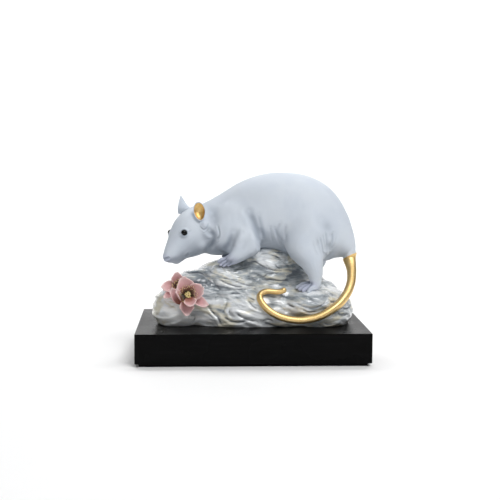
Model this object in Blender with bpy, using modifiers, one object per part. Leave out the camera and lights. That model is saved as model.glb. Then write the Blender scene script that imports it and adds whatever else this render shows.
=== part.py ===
"""Porcelain figure of a rat climbing over a glazed rock, on a black lacquered plinth.

Lengths are metres, +Z is up, +X runs from the rat's nose to its tail, and its left flank faces -Y. The origin
is the middle of the plinth's underside. The figure is a free form drawn in shares of its own height: the rows
of numbers below are in a drawing unit of which DRAWN_HEIGHT make FIGURE_HEIGHT, and they start at the middle
of the rock's underside.
"""
import bpy
import bmesh
import numpy as np
from mathutils import Matrix, Vector
from math import radians

# Driving sizes
FIGURE_HEIGHT = 0.161
PLINTH_LENGTH = 0.240
PLINTH_WIDTH = 0.160
BLOCK_HEIGHT = 0.0305
FOOT_HEIGHT = 0.003
FOOT_INSET = 0.0038
BLOCK_EDGE_RADIUS = 0.0006
SEAT_CLEARANCE = 0.0003

# The drawing unit, and where the rock's underside lies
DRAWN_HEIGHT = 161.0
UNIT = FIGURE_HEIGHT / DRAWN_HEIGHT
SEAT_HEIGHT = FOOT_HEIGHT + BLOCK_HEIGHT + SEAT_CLEARANCE

# How finely the figure is worked, in drawing units
SKIN_VOXEL = 1.1
BODY_VOXEL = 1.6
BODY_SMOOTHING = 14
FIGURE_TRIANGLES = 9000
ROLL_STEPS = 6
ROLL_SIDES = 3
TRUNK_SIDES = 12
BALL_SEGMENTS = 10
BALL_SEGMENTS_PER_RADIUS = 0.5
PETAL_THICKNESS = 1.7
FLANK_FLATNESS = 0.86

# Rolls are rows of x, y, z, radius. Pads are a centre, three radii and a tilt about Y in degrees.
TRUNK = [(-46, -2, 101, 25.3), (-30, -1, 103.5, 30.7), (-13, 0, 109, 34.4), (10, 0, 117.2, 38.8),
         (33, 0, 118.2, 42.2), (55, 0, 112.8, 42.9), (70, 0, 101.3, 37), (84, 0, 94, 26.6),
         (96, 0, 86, 17.3), (104.3, 0, 79.5, 10.2)]
NECK = [(-62, -6, 97, 21), (-52, -4, 99.5, 23.5), (-42, -2, 102, 25.5)]
BODY_PADS = [((-19, -21, 103), (24, 14, 29), 14), ((-19, 21, 103), (24, 14, 29), 14),
             ((60, -22, 99), (28, 17.5, 34), -20), ((60, 22, 99), (28, 17.5, 34), -20),
             ((88, 0, 82), (15, 17, 12), 0), ((-38, -5, 85), (19, 15, 13), 8)]
NEAR_ARM = [(-8, -24, 92, 16), (-3, -29, 86, 13), (-9.5, -31.5, 79.5, 10), (-14.5, -33, 75, 8),
            (-19, -33, 71.8, 6.4), (-22.2, -32.3, 69.6, 5)]
FAR_ARM = [(-14, 20, 90, 15), (-6, 24, 86, 11.5), (-10, 21, 80, 8.6), (-15, 16, 75.5, 6.4),
           (-20, 12, 72, 4.8)]
NEAR_LEG = [(60, -22, 103, 22), (52, -29, 86, 17.5), (61.5, -33, 69, 12), (65.6, -34.5, 58, 8.8),
            (66.3, -35, 49.5, 6.8), (67, -36, 42.5, 5.6), (62, -38, 40.8, 4.6)]
FAR_LEG = [(60, 22, 103, 22), (54, 28, 88, 16.5), (66, 30, 76, 11.5), (73, 29, 68, 8), (76.5, 27, 62, 6.2),
           (75.5, 27, 57.5, 5.4), (68, 28, 55.5, 4.4)]

# Toes: their roots lie between two points, then their tips, and their radii at root and tip
PAWS = [((-24, -31.5, 73), (-17.5, -34, 67.5),
         [(-35, -27.5, 66.4), (-33.1, -30, 64), (-29.7, -31.5, 62.9), (-25.1, -32.3, 63.6)], 2.3, 1.5),
        ((-21.5, 9, 74), (-18, 14, 68),
         [(-30, 6, 69.3), (-29.4, 4, 67.8), (-27.6, 3, 66.4), (-24.9, 3, 66.2)], 2.1, 1.4),
        ((62.5, -29, 42.8), (67, -37.5, 40.8),
         [(47.7, -27.5, 38.9), (50.2, -31.5, 38.1), (53.4, -35.5, 37.6), (57.1, -39.5, 37.4)], 3.1, 2.1),
        ((66, 23, 57.5), (70, 32, 55.5), [(54, 22, 56), (52, 26.5, 55.6), (53.5, 31, 55), (58, 35, 54.5)], 3.1, 2)]

TAIL = [(103.5, 0, 80, 10.4), (106.9, -0.5, 72, 8), (107.1, -2.5, 66.5, 6.7), (107.6, -7, 61.4, 5.9),
        (107.7, -12.5, 56.6, 5.2), (107, -18.5, 52, 4.9), (105.9, -24.5, 47.4, 4.7), (104, -30, 42.7, 4.65),
        (100.6, -36, 37.2, 4.65), (96.7, -42, 30.6, 4.6), (85.5, -49.5, 21.8, 4.4), (71.9, -53, 14.2, 4.2),
        (57.3, -54, 10, 4), (43.9, -54, 9.2, 3.8), (28.4, -52, 12.4, 3.6), (15.9, -49, 19.4, 3.5),
        (8.3, -44.5, 28.6, 3.3), (8.6, -41.5, 34.8, 3.1), (15, -40.5, 37.6, 2.9), (24.3, -40.5, 37.2, 2.8),
        (33, -40.5, 38.4, 2.6)]

# The head has its own axes: along the snout, up through the crown, and out to the left
HEAD_PLACE = Vector((-60, -6, 98))
HEAD_FORWARD = Vector((-0.62, -0.42, -0.66)).normalized()
HEAD_LEFT = Vector((0.57, -0.82, -0.03))
HEAD_LEFT = (HEAD_LEFT - HEAD_FORWARD * HEAD_LEFT.dot(HEAD_FORWARD)).normalized()
HEAD_UP = HEAD_FORWARD.cross(HEAD_LEFT)
HEAD_NARROWNESS = 0.86
SKULL = [(-6, -0.9, 0, 23.8), (4, -0.2, 0, 24.4), (16, -0.2, 0, 19.8), (28, 0, 0, 13.6), (36, 0.7, 0, 10.1),
         (41.5, 2.4, 0, 6.9)]
JAW = [(37, -6.3, 0, 6), (26, -8.2, 0, 6.4)]
NOSE_PAD = ((44.8, 4.3, 0), (4.1, 3.3, 4.1))
CHEEK_PAD = ((6, -7, 14.5), (13, 10, 7))
WHISKER_PAD = ((37, 1.4, 4.8), (6.5, 5, 4.6))
EYE_PAD = ((17, 13.8, 11.4), (5.6, 4.6, 4))
EYE_CENTRE = (17, 14.9, 12.9)
EYE_RADIUS = 3.2

# Ears: where they sit, which way their hollow looks, and which way their tip points
EARS = [((-55, -20.5, 119.9), (-0.125, -0.967, 0.117), (-0.174, 0.14, 0.975)),
        ((-76.3, 4, 125.2), (-0.97, 0.22, 0.1), (0.12, -0.05, 0.99))]
EAR_RADII = (6.9, 10.4, 4.4)
EAR_HOLLOW_RADII = (5.5, 8.8, 5)
EAR_HOLLOW_SHIFT = (0, 0.6, 3.4)
EAR_ROOT = [(0, -1, -4.6, 4.2), (0, -5, -10, 5.2)]

ROCK_PADS = [((5, 0, 13), (92, 47, 35)), ((17, 3, 50), (36, 28, 33.5)), ((-24, -5, 36.5), (35, 34, 30.5)),
             ((-56, -6, 29), (37, 36, 28.5)), ((-80, -14, 16), (27, 30, 23.5)), ((74, -10, 13), (36, 40, 25)),
             ((61, -33, 24), (27, 20, 14)), ((62, 24, 32), (26, 22, 23)), ((44, 6, 38), (27, 24, 31)),
             ((82, 12, 29), (15, 20, 17)), ((-27, -22, 50), (19, 15, 12.5))]
ROCK_VOXEL = 1.3
ROCK_SMOOTHING = 24
LEDGE_RISE = 8.2
LEDGE_DEPTH = 2.0

# Blossoms: where they sit on the rock, their heart's radius, then each petal's root, tip, facing and width
BLOSSOMS = [((-67, -43, 34.6), 6.5,
             [((-67, -43, 35), (-71.8, -49, 53.6), (0.2, -0.9, -0.4), 18),
              ((-67, -43, 35), (-50.8, -52, 42.4), (-0.5, -0.85, 0.0), 18),
              ((-66, -43.5, 33.5), (-45.8, -50, 24.9), (-0.25, -0.6, 0.75), 12.5),
              ((-68, -44, 31), (-68, -53, 14.2), (0.0, -0.75, 0.66), 14.5),
              ((-74, -44, 25.6), (-83.4, -50.5, 42.2), (0.3, -0.9, 0.2), 12),
              ((-73, -46, 28), (-77.4, -53.5, 43.4), (1.0, -0.25, 0.2), 9),
              ((-66.5, -47, 32), (-62.4, -58.5, 26), (-0.1, -0.45, 0.9), 13.5)]),
            ((-77, -36, 43.3), 4.5,
             [((-77, -36, 43), (-78.2, -41, 57.4), (-0.1, -0.95, -0.3), 13),
              ((-77, -36, 43), (-94.2, -42.5, 42.6), (0.1, -0.75, 0.65), 10.5),
              ((-79, -37, 40), (-91.8, -45, 31.5), (0.1, -0.9, 0.4), 8.5)])]


def clear_scene():
    """Remove the objects that a new file starts with."""
    for item in list(bpy.data.objects):
        bpy.data.objects.remove(item)


def collection(name):
    """A collection of the scene, made once."""
    made = bpy.data.collections.new(name)
    bpy.context.scene.collection.children.link(made)
    return made


def finish(name, colour, roughness, metallic=0.0, coat=0.0):
    """A plain Principled material."""
    made = bpy.data.materials.new(name)
    made.use_nodes = True
    shader = made.node_tree.nodes["Principled BSDF"]
    shader.inputs["Base Color"].default_value = (*colour, 1)
    shader.inputs["Roughness"].default_value = roughness
    shader.inputs["Metallic"].default_value = metallic
    shader.inputs["Coat Weight"].default_value = coat
    made.diffuse_color = (*colour, 1)
    return made


def add_object(name, mesh, group):
    """Link a new object with this mesh into a collection."""
    made = bpy.data.objects.new(name, mesh)
    group.objects.link(made)
    return made


def evaluated_mesh(item):
    """The object's mesh after its modifiers, and the object removed."""
    made = bpy.data.meshes.new_from_object(item.evaluated_get(bpy.context.evaluated_depsgraph_get()))
    made.transform(item.matrix_world)
    bpy.data.objects.remove(item)
    return made


def smooth_path(rows, steps=ROLL_STEPS):
    """A Catmull-Rom curve through the rows, with as many spans a row as steps."""
    rows = np.asarray(rows, float)
    ends = np.vstack([2 * rows[0] - rows[1], rows, 2 * rows[-1] - rows[-2]])
    path = []
    for before, start, end, after in zip(ends, ends[1:], ends[2:], ends[3:]):
        for t in np.arange(steps) / steps:
            path.append(0.5 * (2 * start + (end - before) * t
                               + (2 * before - 5 * start + 4 * end - after) * t ** 2
                               + (3 * start - before - 3 * end + after) * t ** 3))
    return np.array(path + [rows[-1]])


def roll(rows, group, sides=ROLL_SIDES):
    """A tube whose radius changes along its path, filled out by a ball at each of its points."""
    path = smooth_path(rows)
    curve = bpy.data.curves.new("roll", "CURVE")
    curve.dimensions = "3D"
    curve.bevel_depth = 1
    curve.bevel_resolution = sides
    curve.use_fill_caps = True
    line = curve.splines.new("POLY")
    line.points.add(len(path) - 1)
    for point, (x, y, z, radius) in zip(line.points, path):
        point.co = (x, y, z, 1)
        point.radius = radius
    tube = add_object("roll", curve, group)
    bpy.context.view_layer.update()
    work = bmesh.new()
    work.from_mesh(evaluated_mesh(tube))
    bmesh.ops.remove_doubles(work, verts=work.verts, dist=0.0001)
    for x, y, z, radius in path:
        segments = int(BALL_SEGMENTS + BALL_SEGMENTS_PER_RADIUS * radius)
        bmesh.ops.create_uvsphere(work, u_segments=segments, v_segments=segments // 2, radius=radius,
                                  matrix=Matrix.Translation((x, y, z)))
    mesh = bpy.data.meshes.new("roll")
    work.to_mesh(mesh)
    work.free()
    return mesh


def pad(centre, radii, tilt=0.0):
    """An ellipsoid, tilted about Y by some degrees."""
    shape = Matrix.Diagonal((*radii, 1))
    place = Matrix.Translation(centre) @ Matrix.Rotation(radians(tilt), 4, "Y") @ shape
    work = bmesh.new()
    bmesh.ops.create_uvsphere(work, u_segments=32, v_segments=20, radius=1, matrix=place)
    mesh = bpy.data.meshes.new("pad")
    work.to_mesh(mesh)
    work.free()
    return mesh


def joined(meshes):
    """One mesh of several that may overlap."""
    work = bmesh.new()
    for mesh in meshes:
        work.from_mesh(mesh)
    made = bpy.data.meshes.new("joined")
    work.to_mesh(made)
    work.free()
    return made


def skin(meshes, voxel, smoothing, group):
    """One closed skin around overlapping shapes, with the joins between them softened."""
    item = add_object("skin", joined(meshes), group)
    remesh = item.modifiers.new("one skin", "REMESH")
    remesh.mode = "VOXEL"
    remesh.voxel_size = voxel
    soften = item.modifiers.new("soft joins", "SMOOTH")
    soften.factor = 0.5
    soften.iterations = smoothing
    bpy.context.view_layer.update()
    return evaluated_mesh(item)


def points_of(mesh):
    """The mesh's points and their normals as arrays."""
    points = np.empty(len(mesh.vertices) * 3, np.float32)
    mesh.vertices.foreach_get("co", points)
    normals = np.empty(len(mesh.vertices) * 3, np.float32)
    mesh.vertex_normals.foreach_get("vector", normals)
    return points.reshape(-1, 3).astype(float), normals.reshape(-1, 3).astype(float)


def narrowed(mesh, axis, share, middle):
    """The mesh pressed flatter along one axis, about a plane."""
    scale = [1.0, 1.0, 1.0]
    scale[axis] = share
    place = Vector((0, 0, 0))
    place[axis] = middle
    mesh.transform(Matrix.Translation(place) @ Matrix.Diagonal((*scale, 1)) @ Matrix.Translation(-place))
    return mesh


def head_axes():
    """The matrix that takes the head's own axes to the figure's."""
    axes = Matrix((HEAD_FORWARD, HEAD_UP, HEAD_LEFT)).transposed().to_4x4()
    return Matrix.Translation(HEAD_PLACE) @ axes


def head_pieces(group):
    """The skull, jaw, nose, cheeks, whisker pads and the lids around the eyes."""
    pieces = [narrowed(roll(SKULL, group), 2, HEAD_NARROWNESS, 0), roll(JAW, group), pad(*NOSE_PAD)]
    for (along, up, out), radii in (CHEEK_PAD, WHISKER_PAD, EYE_PAD):
        pieces += [pad((along, up, out * side), radii) for side in (-1, 1)]
    for mesh in pieces:
        mesh.transform(head_axes())
    return pieces


def eyes():
    """The two eyeballs, half sunk between their lids."""
    radii = (EYE_RADIUS,) * 3
    made = [pad((EYE_CENTRE[0], EYE_CENTRE[1], EYE_CENTRE[2] * side), radii) for side in (-1, 1)]
    for mesh in made:
        mesh.transform(head_axes())
    return made


def ears(group, cutters):
    """Two cupped ears, each a pad with a pad-shaped hollow cut out of its front, and a root into the head."""
    made = []
    for centre, facing, tip in EARS:
        facing = Vector(facing).normalized()
        tip = Vector(tip)
        tip = (tip - facing * tip.dot(facing)).normalized()
        place = Matrix.Translation(centre) @ Matrix((tip.cross(facing), tip, facing)).transposed().to_4x4()
        shell = pad((0, 0, 0), EAR_RADII)
        shell.transform(place)
        hollow = pad(EAR_HOLLOW_SHIFT, EAR_HOLLOW_RADII)
        hollow.transform(place)
        ear = add_object("ear", shell, group)
        cutter = add_object("ear_hollow", hollow, cutters)
        cut = ear.modifiers.new("hollow", "BOOLEAN")
        cut.operation = "DIFFERENCE"
        cut.object = cutter
        bpy.context.view_layer.update()
        made.append(evaluated_mesh(ear))
        bpy.data.objects.remove(cutter)
        root = roll(EAR_ROOT, group)
        root.transform(place)
        made.append(root)
    return made


def toes(first_root, last_root, tips, root_radius, tip_radius, group):
    """The toes of one paw side by side, each arched over its middle joint."""
    roots = np.linspace(first_root, last_root, len(tips))
    made = []
    for root, tip in zip(roots, np.array(tips, float)):
        knuckle = root * 0.45 + tip * 0.55 + (0, 0, 0.35 * root_radius)
        rows = [(*root, root_radius), (*knuckle, (root_radius + tip_radius) / 2), (*tip, tip_radius)]
        made.append(roll(rows, group))
    return made


def ledges(points):
    """How far the rock's face steps out at each point: flowing, slanted ledges with a groove under each."""
    x, y, z = points.T
    level = z / LEDGE_RISE + 0.55 * np.sin(x / 19 + 0.8 * np.sin(z / 13)) + 0.3 * np.sin(x / 8.3 + y / 7.1)
    step = level - np.floor(level)
    lip = np.clip(step / 0.75, 0, 1) ** 1.4 - np.clip((step - 0.75) / 0.25, 0, 1)
    broad = np.sin(x / 14.7 + 1.3) * np.sin(z / 11.9 + y / 17) + 0.5 * np.sin(y / 9.7 - x / 21)
    return LEDGE_DEPTH * (0.75 * lip - 0.4 + 0.45 * broad)


def rock(group):
    """The rock: broad lumps grown together, then cut into ledges."""
    mesh = skin([pad(*row) for row in ROCK_PADS], ROCK_VOXEL, ROCK_SMOOTHING, group)
    points, normals = points_of(mesh)
    points += normals * ledges(points)[:, None]
    mesh.vertices.foreach_set("co", points.astype(np.float32).ravel())
    mesh.update()
    return mesh


def petal(root, tip, facing, width, group):
    """A thin cupped petal from its root to its tip, with its inner face towards facing."""
    root, tip, facing = Vector(root), Vector(tip), Vector(facing)
    along = tip - root
    length = along.length
    along.normalize()
    face = (facing - along * facing.dot(along)).normalized()
    across = along.cross(face)
    rows, columns = 8, 7
    work = bmesh.new()
    grid = []
    for i in range(rows):
        u = i / (rows - 1)
        half = width / 2 * np.sin(np.pi * (0.08 + 0.78 * u)) ** 0.7
        line = []
        for j in range(columns):
            v = 2 * j / (columns - 1) - 1
            lift = 0.16 * length * (v * v * np.sin(np.pi * u) - np.sin(np.pi * u) * 0.9 - 0.25 * u ** 4)
            point = root + along * (length * u * (1 - 0.24 * v * v * u)) + across * (half * v) + face * lift
            line.append(work.verts.new(point))
        grid.append(line)
    for low, high in zip(grid, grid[1:]):
        for a, b, c, d in zip(low, low[1:], high[1:], high):
            work.faces.new((a, b, c, d))
    mesh = bpy.data.meshes.new("petal")
    work.to_mesh(mesh)
    work.free()
    item = add_object("petal", mesh, group)
    shell = item.modifiers.new("thickness", "SOLIDIFY")
    shell.thickness = PETAL_THICKNESS
    shell.offset = 0
    bpy.context.view_layer.update()
    return evaluated_mesh(item)


def blossoms(group):
    """The flowers on the rock's face: a rounded heart with petals around it."""
    made = []
    for hub, heart, petals in BLOSSOMS:
        made.append(pad(hub, (heart, heart, heart)))
        made += [petal(*row, group) for row in petals]
    return made


def porcelain(group, cutters):
    """The rat, its rock and the blossoms, as the one piece that was fired."""
    body = [narrowed(roll(TRUNK, cutters, TRUNK_SIDES), 1, FLANK_FLATNESS, 0), roll(NECK, cutters)]
    body += [pad(*row) for row in BODY_PADS] + head_pieces(cutters)
    body += [roll(limb, cutters) for limb in (NEAR_ARM, FAR_ARM, NEAR_LEG, FAR_LEG)]
    pieces = [skin(body, BODY_VOXEL, BODY_SMOOTHING, cutters)]
    pieces += [roll(limb[2:], cutters) for limb in (NEAR_ARM, FAR_ARM, NEAR_LEG, FAR_LEG)]
    for paw in PAWS:
        pieces += toes(*paw, cutters)
    pieces += eyes() + ears(cutters, cutters) + [roll(TAIL, cutters), rock(cutters)] + blossoms(cutters)
    mesh = joined(pieces)
    mesh.name = "porcelain_group"
    item = add_object("porcelain_group", mesh, group)
    mesh.materials.append(finish("glazed_porcelain", (0.62, 0.66, 0.71), 0.35, coat=0.3))
    item.location = (0, 0, SEAT_HEIGHT)
    remesh = item.modifiers.new("one skin", "REMESH")
    remesh.mode = "VOXEL"
    remesh.voxel_size = SKIN_VOXEL * UNIT
    soften = item.modifiers.new("soft joins", "SMOOTH")
    soften.factor = 0.5
    soften.iterations = 2
    mesh.transform(Matrix.Scale(UNIT, 4))
    bpy.context.view_layer.update()
    dense = item.evaluated_get(bpy.context.evaluated_depsgraph_get()).to_mesh()
    triangles = sum(len(face.vertices) - 2 for face in dense.polygons)
    facets = item.modifiers.new("facets", "DECIMATE")
    facets.ratio = FIGURE_TRIANGLES / triangles
    facets.use_collapse_triangulate = True
    below = add_box("rock_underside_cut", (PLINTH_LENGTH, PLINTH_WIDTH, BLOCK_HEIGHT), 0, cutters)
    below.location = (0, 0, SEAT_HEIGHT - BLOCK_HEIGHT / 2)
    below.hide_render = True
    below.display_type = "WIRE"
    flat = item.modifiers.new("flat underside", "BOOLEAN")
    flat.operation = "DIFFERENCE"
    flat.object = below
    return item


def add_box(name, size, height, group):
    """A box with its middle at some height, its size in its mesh."""
    work = bmesh.new()
    bmesh.ops.create_cube(work, size=1, matrix=Matrix.Translation((0, 0, height)) @ Matrix.Diagonal((*size, 1)))
    mesh = bpy.data.meshes.new(name)
    work.to_mesh(mesh)
    work.free()
    return add_object(name, mesh, group)


def plinth(group, cutters):
    """The lacquered block, with softened edges, on a foot set in from its sides."""
    block = add_box("plinth", (PLINTH_LENGTH, PLINTH_WIDTH, BLOCK_HEIGHT), FOOT_HEIGHT + BLOCK_HEIGHT / 2, group)
    block.data.materials.append(finish("black_lacquer", (0.012, 0.012, 0.013), 0.28, coat=0.5))
    edge = block.modifiers.new("soft edges", "BEVEL")
    edge.width = BLOCK_EDGE_RADIUS
    edge.segments = 3
    foot_top = FOOT_HEIGHT + BLOCK_HEIGHT / 2
    foot_size = (PLINTH_LENGTH - 2 * FOOT_INSET, PLINTH_WIDTH - 2 * FOOT_INSET, foot_top)
    foot = add_box("plinth_foot", foot_size, foot_top / 2, cutters)
    foot.hide_render = True
    foot.display_type = "WIRE"
    join = block.modifiers.new("foot", "BOOLEAN")
    join.operation = "UNION"
    join.object = foot
    return block


def main():
    """Model the figure and its plinth."""
    clear_scene()
    group = collection("rat_figurine")
    cutters = collection("cutters")
    plinth(group, cutters)
    porcelain(group, cutters)


main()
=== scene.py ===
"""Looks of a porcelain rat that climbs over a glazed rock with two blossoms, on a black lacquered plinth.

The frame is in metres. The porcelain is drawn in units of which FIGURE_TOP make the packed figure's height,
from the middle of the rock's underside: +X runs from the nose to the tail and the left flank faces -Y.
"""
from itertools import product
from math import cos, pi, radians, sin

import bmesh
import bpy
import numpy as np
from bpy.props import FloatProperty, FloatVectorProperty, IntProperty, PointerProperty
from mathutils import Matrix, Vector


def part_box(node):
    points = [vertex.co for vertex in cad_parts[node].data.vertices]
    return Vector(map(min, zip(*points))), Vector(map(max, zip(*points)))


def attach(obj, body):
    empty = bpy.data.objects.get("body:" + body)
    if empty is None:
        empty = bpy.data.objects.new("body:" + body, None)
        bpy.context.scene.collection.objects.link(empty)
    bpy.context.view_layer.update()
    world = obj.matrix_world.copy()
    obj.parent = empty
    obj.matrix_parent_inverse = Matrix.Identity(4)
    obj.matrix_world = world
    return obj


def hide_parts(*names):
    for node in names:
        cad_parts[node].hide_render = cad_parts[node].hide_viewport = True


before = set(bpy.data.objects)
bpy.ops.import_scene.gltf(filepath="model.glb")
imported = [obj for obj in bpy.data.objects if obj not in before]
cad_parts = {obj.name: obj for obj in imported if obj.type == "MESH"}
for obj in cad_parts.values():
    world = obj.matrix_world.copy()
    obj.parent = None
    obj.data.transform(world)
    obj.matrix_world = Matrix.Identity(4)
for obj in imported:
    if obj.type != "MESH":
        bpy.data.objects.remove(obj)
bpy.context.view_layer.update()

bl_info = {
    "name": "Porcelain rat",
    "version": (1, 0, 0),
    "blender": (4, 5, 0),
    "location": "View3D > Sidebar > Porcelain rat",
    "description": "Dresses the packed figure in bisque, gilding, glaze and lacquer",
    "category": "Object",
}

# Places taken from the packed frame
FIGURE_LOW, FIGURE_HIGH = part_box("porcelain_group")
FIGURE_TOP = 160.1
UNIT = (FIGURE_HIGH.z - FIGURE_LOW.z) / FIGURE_TOP
SEAT_HEIGHT = FIGURE_LOW.z

# Seeded patterns repeat after this many cells. A sunflower's seeds turn by the golden angle, in radians.
LATTICE = 32
GOLDEN_ANGLE = 2.39996

# How finely round things are cut: rings of a ball from pole to pole, points round a tube and points along it
PAD_RINGS = 28
EYE_RINGS = 24
KNOB_RINGS = 8
BEAD_RINGS = 5
EAR_SIDES = 56
EAR_STEPS = 5
TAIL_SIDES = 40
TAIL_STEPS = 26
THREAD_SIDES = 6
THREAD_POINTS = 7
PETAL_ROWS = 30
PETAL_COLUMNS = 23

# Rolls are rows of x, y, z, radius. Pads are a centre, three radii and a tilt about Y in degrees.
TRUNK = [
    (-46, -2, 101, 25.3), (-30, -1, 103.5, 30.7), (-13, 0, 109, 34.4), (10, 0, 117.2, 38.8),
    (33, 0, 118.2, 42.2), (55, 0, 112.8, 42.9), (70, 0, 101.3, 37), (84, 0, 94, 26.6), (96, 0, 86, 17.3),
    (104.3, 0, 79.5, 10.2)]
NECK = [(-62, -6, 97, 21), (-52, -4, 99.5, 23.5), (-42, -2, 102, 25.5)]
BODY_PADS = [
    ((-19, -21, 103), (24, 14, 29), 14), ((-19, 21, 103), (24, 14, 29), 14),
    ((60, -22, 99), (28, 17.5, 34), -20), ((60, 22, 99), (28, 17.5, 34), -20),
    ((90, 0, 81.5), (16, 17, 11.5), 8), ((-38, -5, 85), (19, 15, 13), 8)]
NEAR_ARM = [
    (-8, -24, 92, 16), (-3, -29, 86, 13), (-9.5, -31.5, 79.5, 10), (-14.5, -33, 75, 8),
    (-19, -33, 71.8, 6.4), (-22.2, -32.3, 69.6, 5)]
FAR_ARM = [
    (-14, 20, 90, 15), (-6, 24, 86, 11.5), (-10, 21, 80, 8.6), (-15, 16, 75.5, 6.4), (-20, 12, 72, 4.8)]
NEAR_LEG = [
    (60, -22, 103, 22), (52, -29, 86, 17.5), (61.5, -33, 69, 12), (65.6, -34.5, 58, 8.8),
    (66.3, -35, 49.5, 6.8), (66.5, -35.5, 43.3, 5.4), (62, -36, 41.2, 4.2)]
FAR_LEG = [
    (60, 22, 103, 22), (54, 28, 88, 16.5), (66, 30, 76, 11.5), (75, 29, 69, 8), (79.3, 27, 64, 6.3),
    (77.5, 27, 58, 5.4), (69, 28, 55.5, 4.4)]
LIMBS = (NEAR_ARM, FAR_ARM, NEAR_LEG, FAR_LEG)
FLANK_FLATNESS = 0.86
# Where the haunch and the shoulder run out softly into the flank: centres and radii of ovals on the left
MELTED = [((56, -32, 119), (40, 24, 24)), ((-6, -30, 119), (32, 22, 22))]

# Toes: their roots lie between two points, then their tips, and their radii at root and tip
PAWS = [
    ((-24, -31.5, 73), (-17.5, -34, 67.5),
     [(-35, -27.5, 66.4), (-33.1, -30, 64), (-29.7, -31.5, 62.9), (-25.1, -32.3, 63.6)], 2.3, 1.5),
    ((-21.5, 9, 74), (-18, 14, 68),
     [(-30, 6, 69.3), (-29.4, 4, 67.8), (-27.6, 3, 66.4), (-24.9, 3, 66.2)], 2.1, 1.4),
    ((61.5, -29, 43.4), (65, -38.5, 41.4),
     [(48.5, -28, 39.8), (50.6, -32.6, 38.6), (53.9, -37.2, 37.7), (58.4, -41.4, 37.2)], 3.4, 2.3),
    ((66, 23, 57.5), (70, 32, 55.5),
     [(54, 22, 56), (52, 26.5, 55.6), (53.5, 31, 55), (58, 35, 54.5)], 3.1, 2)]
TOE_GAP_DEPTH = 0.9

# The far fore paw is in the hollow under the chest, so it takes the painted shade of the folds
FAR_PAW = (-27.5, 5.5, 67.5)

TAIL = [
    (103.5, 0, 80, 10.4), (106.9, -0.5, 72, 8), (107.1, -2.5, 66.5, 6.7), (107.6, -7, 61.4, 5.9),
    (107.7, -12.5, 56.6, 5.2), (107, -18.5, 52, 4.9), (105.9, -24.5, 47.4, 4.7), (104, -30, 42.7, 4.65),
    (101, -35.6, 37.2, 4.65), (96.8, -40.9, 31.7, 4.6), (91.5, -45.5, 26.4, 4.5), (85.2, -49.4, 21.8, 4.4),
    (71.9, -53, 14.2, 4.2), (57.3, -54, 10, 4), (43.9, -54, 9.2, 3.8), (28.4, -52, 12.4, 3.6),
    (15.9, -49, 19.4, 3.5), (8.3, -44.5, 28.6, 3.3), (8.6, -41.5, 34.8, 3.1), (15, -40.5, 37.6, 2.9),
    (24.3, -40.5, 37, 2.75), (30.5, -40.5, 37.6, 2.85), (35.2, -40.5, 40, 3)]

# The tail rises out of the skin past the first points of its path, and has shallow rings this far apart
TAIL_ROOT_POINTS = 11
TAIL_HIDDEN_POINTS = 34
TAIL_RING_SPACING = 2.6

# The head has its own axes: along the snout, up through the crown, and out to the left
HEAD_PLACE = np.array((-60.0, -6.0, 98.0))
HEAD_FORWARD = Vector((-0.62, -0.42, -0.66)).normalized()
HEAD_LEFT = Vector((0.57, -0.82, -0.03))
HEAD_LEFT = (HEAD_LEFT - HEAD_FORWARD * HEAD_LEFT.dot(HEAD_FORWARD)).normalized()
HEAD_AXES = np.array((HEAD_FORWARD, HEAD_FORWARD.cross(HEAD_LEFT), HEAD_LEFT))
HEAD_NARROWNESS = 0.86
SKULL = [
    (-6, -0.9, 0, 23.8), (4, -0.2, 0, 24.4), (16, 0.8, 0, 19), (28, 1.8, 0, 13.5), (36, 1.9, 0, 10.2),
    (41.5, 2.4, 0, 7)]
JAW = [(37, -6.3, 0, 6), (26, -8.2, 0, 6.4)]
NOSE_PAD = ((44.8, 4.3, 0), (4.1, 3.3, 4.1))
CHEEK_PAD = ((6, -7, 14.5), (13, 10, 7))
WHISKER_PAD = ((37, 1.4, 4.8), (6.5, 5, 4.6))
EYE_PAD = ((17, 13.8, 11.4), (5.6, 4.6, 4))
EYE_CENTRE = (17, 14.9, 12.9)
EYE_RADIUS = 3.3
FAR_EYE_SHIFT = np.array((1.2, -1.8, 0.6))
FAR_EYEBALL_SHIFT = FAR_EYE_SHIFT + (0.2, 0.2, -0.3)
# The rim of the lids and the furrow round them: distance from the eyeball, width and height
LID_RINGS = [(0.8, 0.7, 0.22), (3.2, 1.4, -0.1)]
NOSE_TIP = (46, 2.5, 0)

# Creases of the head in its own axes, with their width and depth: both corners of the eye, the lips, the
# corner of the mouth and the nostril
HEAD_CREASES = [
    ([(13.4, 13.4, 15), (11.2, 12.6, 15.6)], 0.7, 0.5),
    ([(20.4, 14.6, 11.4), (23.4, 13.2, 8.9)], 0.7, 0.5),
    ([(46.7, 1.3, 2.6), (45.6, 0.6, 4.6), (42.8, 0.1, 6.8), (37.4, -2.5, 9.3), (32.6, -4.9, 11),
     (29.5, -6.3, 12.4)], 0.8, 0.1),
    ([(29.4, -7, 10), (27.6, -6.8, 11.2)], 1.5, 1.7),
    ([(46.9, 4.1, 2.4), (46.2, 4.1, 3.5), (45.4, 4.2, 4.3)], 1.1, 2.3)]

# Ears: where the middles of their rims are, which way their hollows look, and which way their tips point
EARS = [
    ((-55.2, -25.6, 119.7), (-0.125, -0.967, 0.117), (-0.174, 0.14, 0.975)),
    ((-76.3, 4, 125.2), (-0.97, 0.22, 0.1), (0.12, -0.05, 0.99))]
EAR_HALF_WIDTH = 5.9
EAR_HALF_HEIGHT = 9.5
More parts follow.
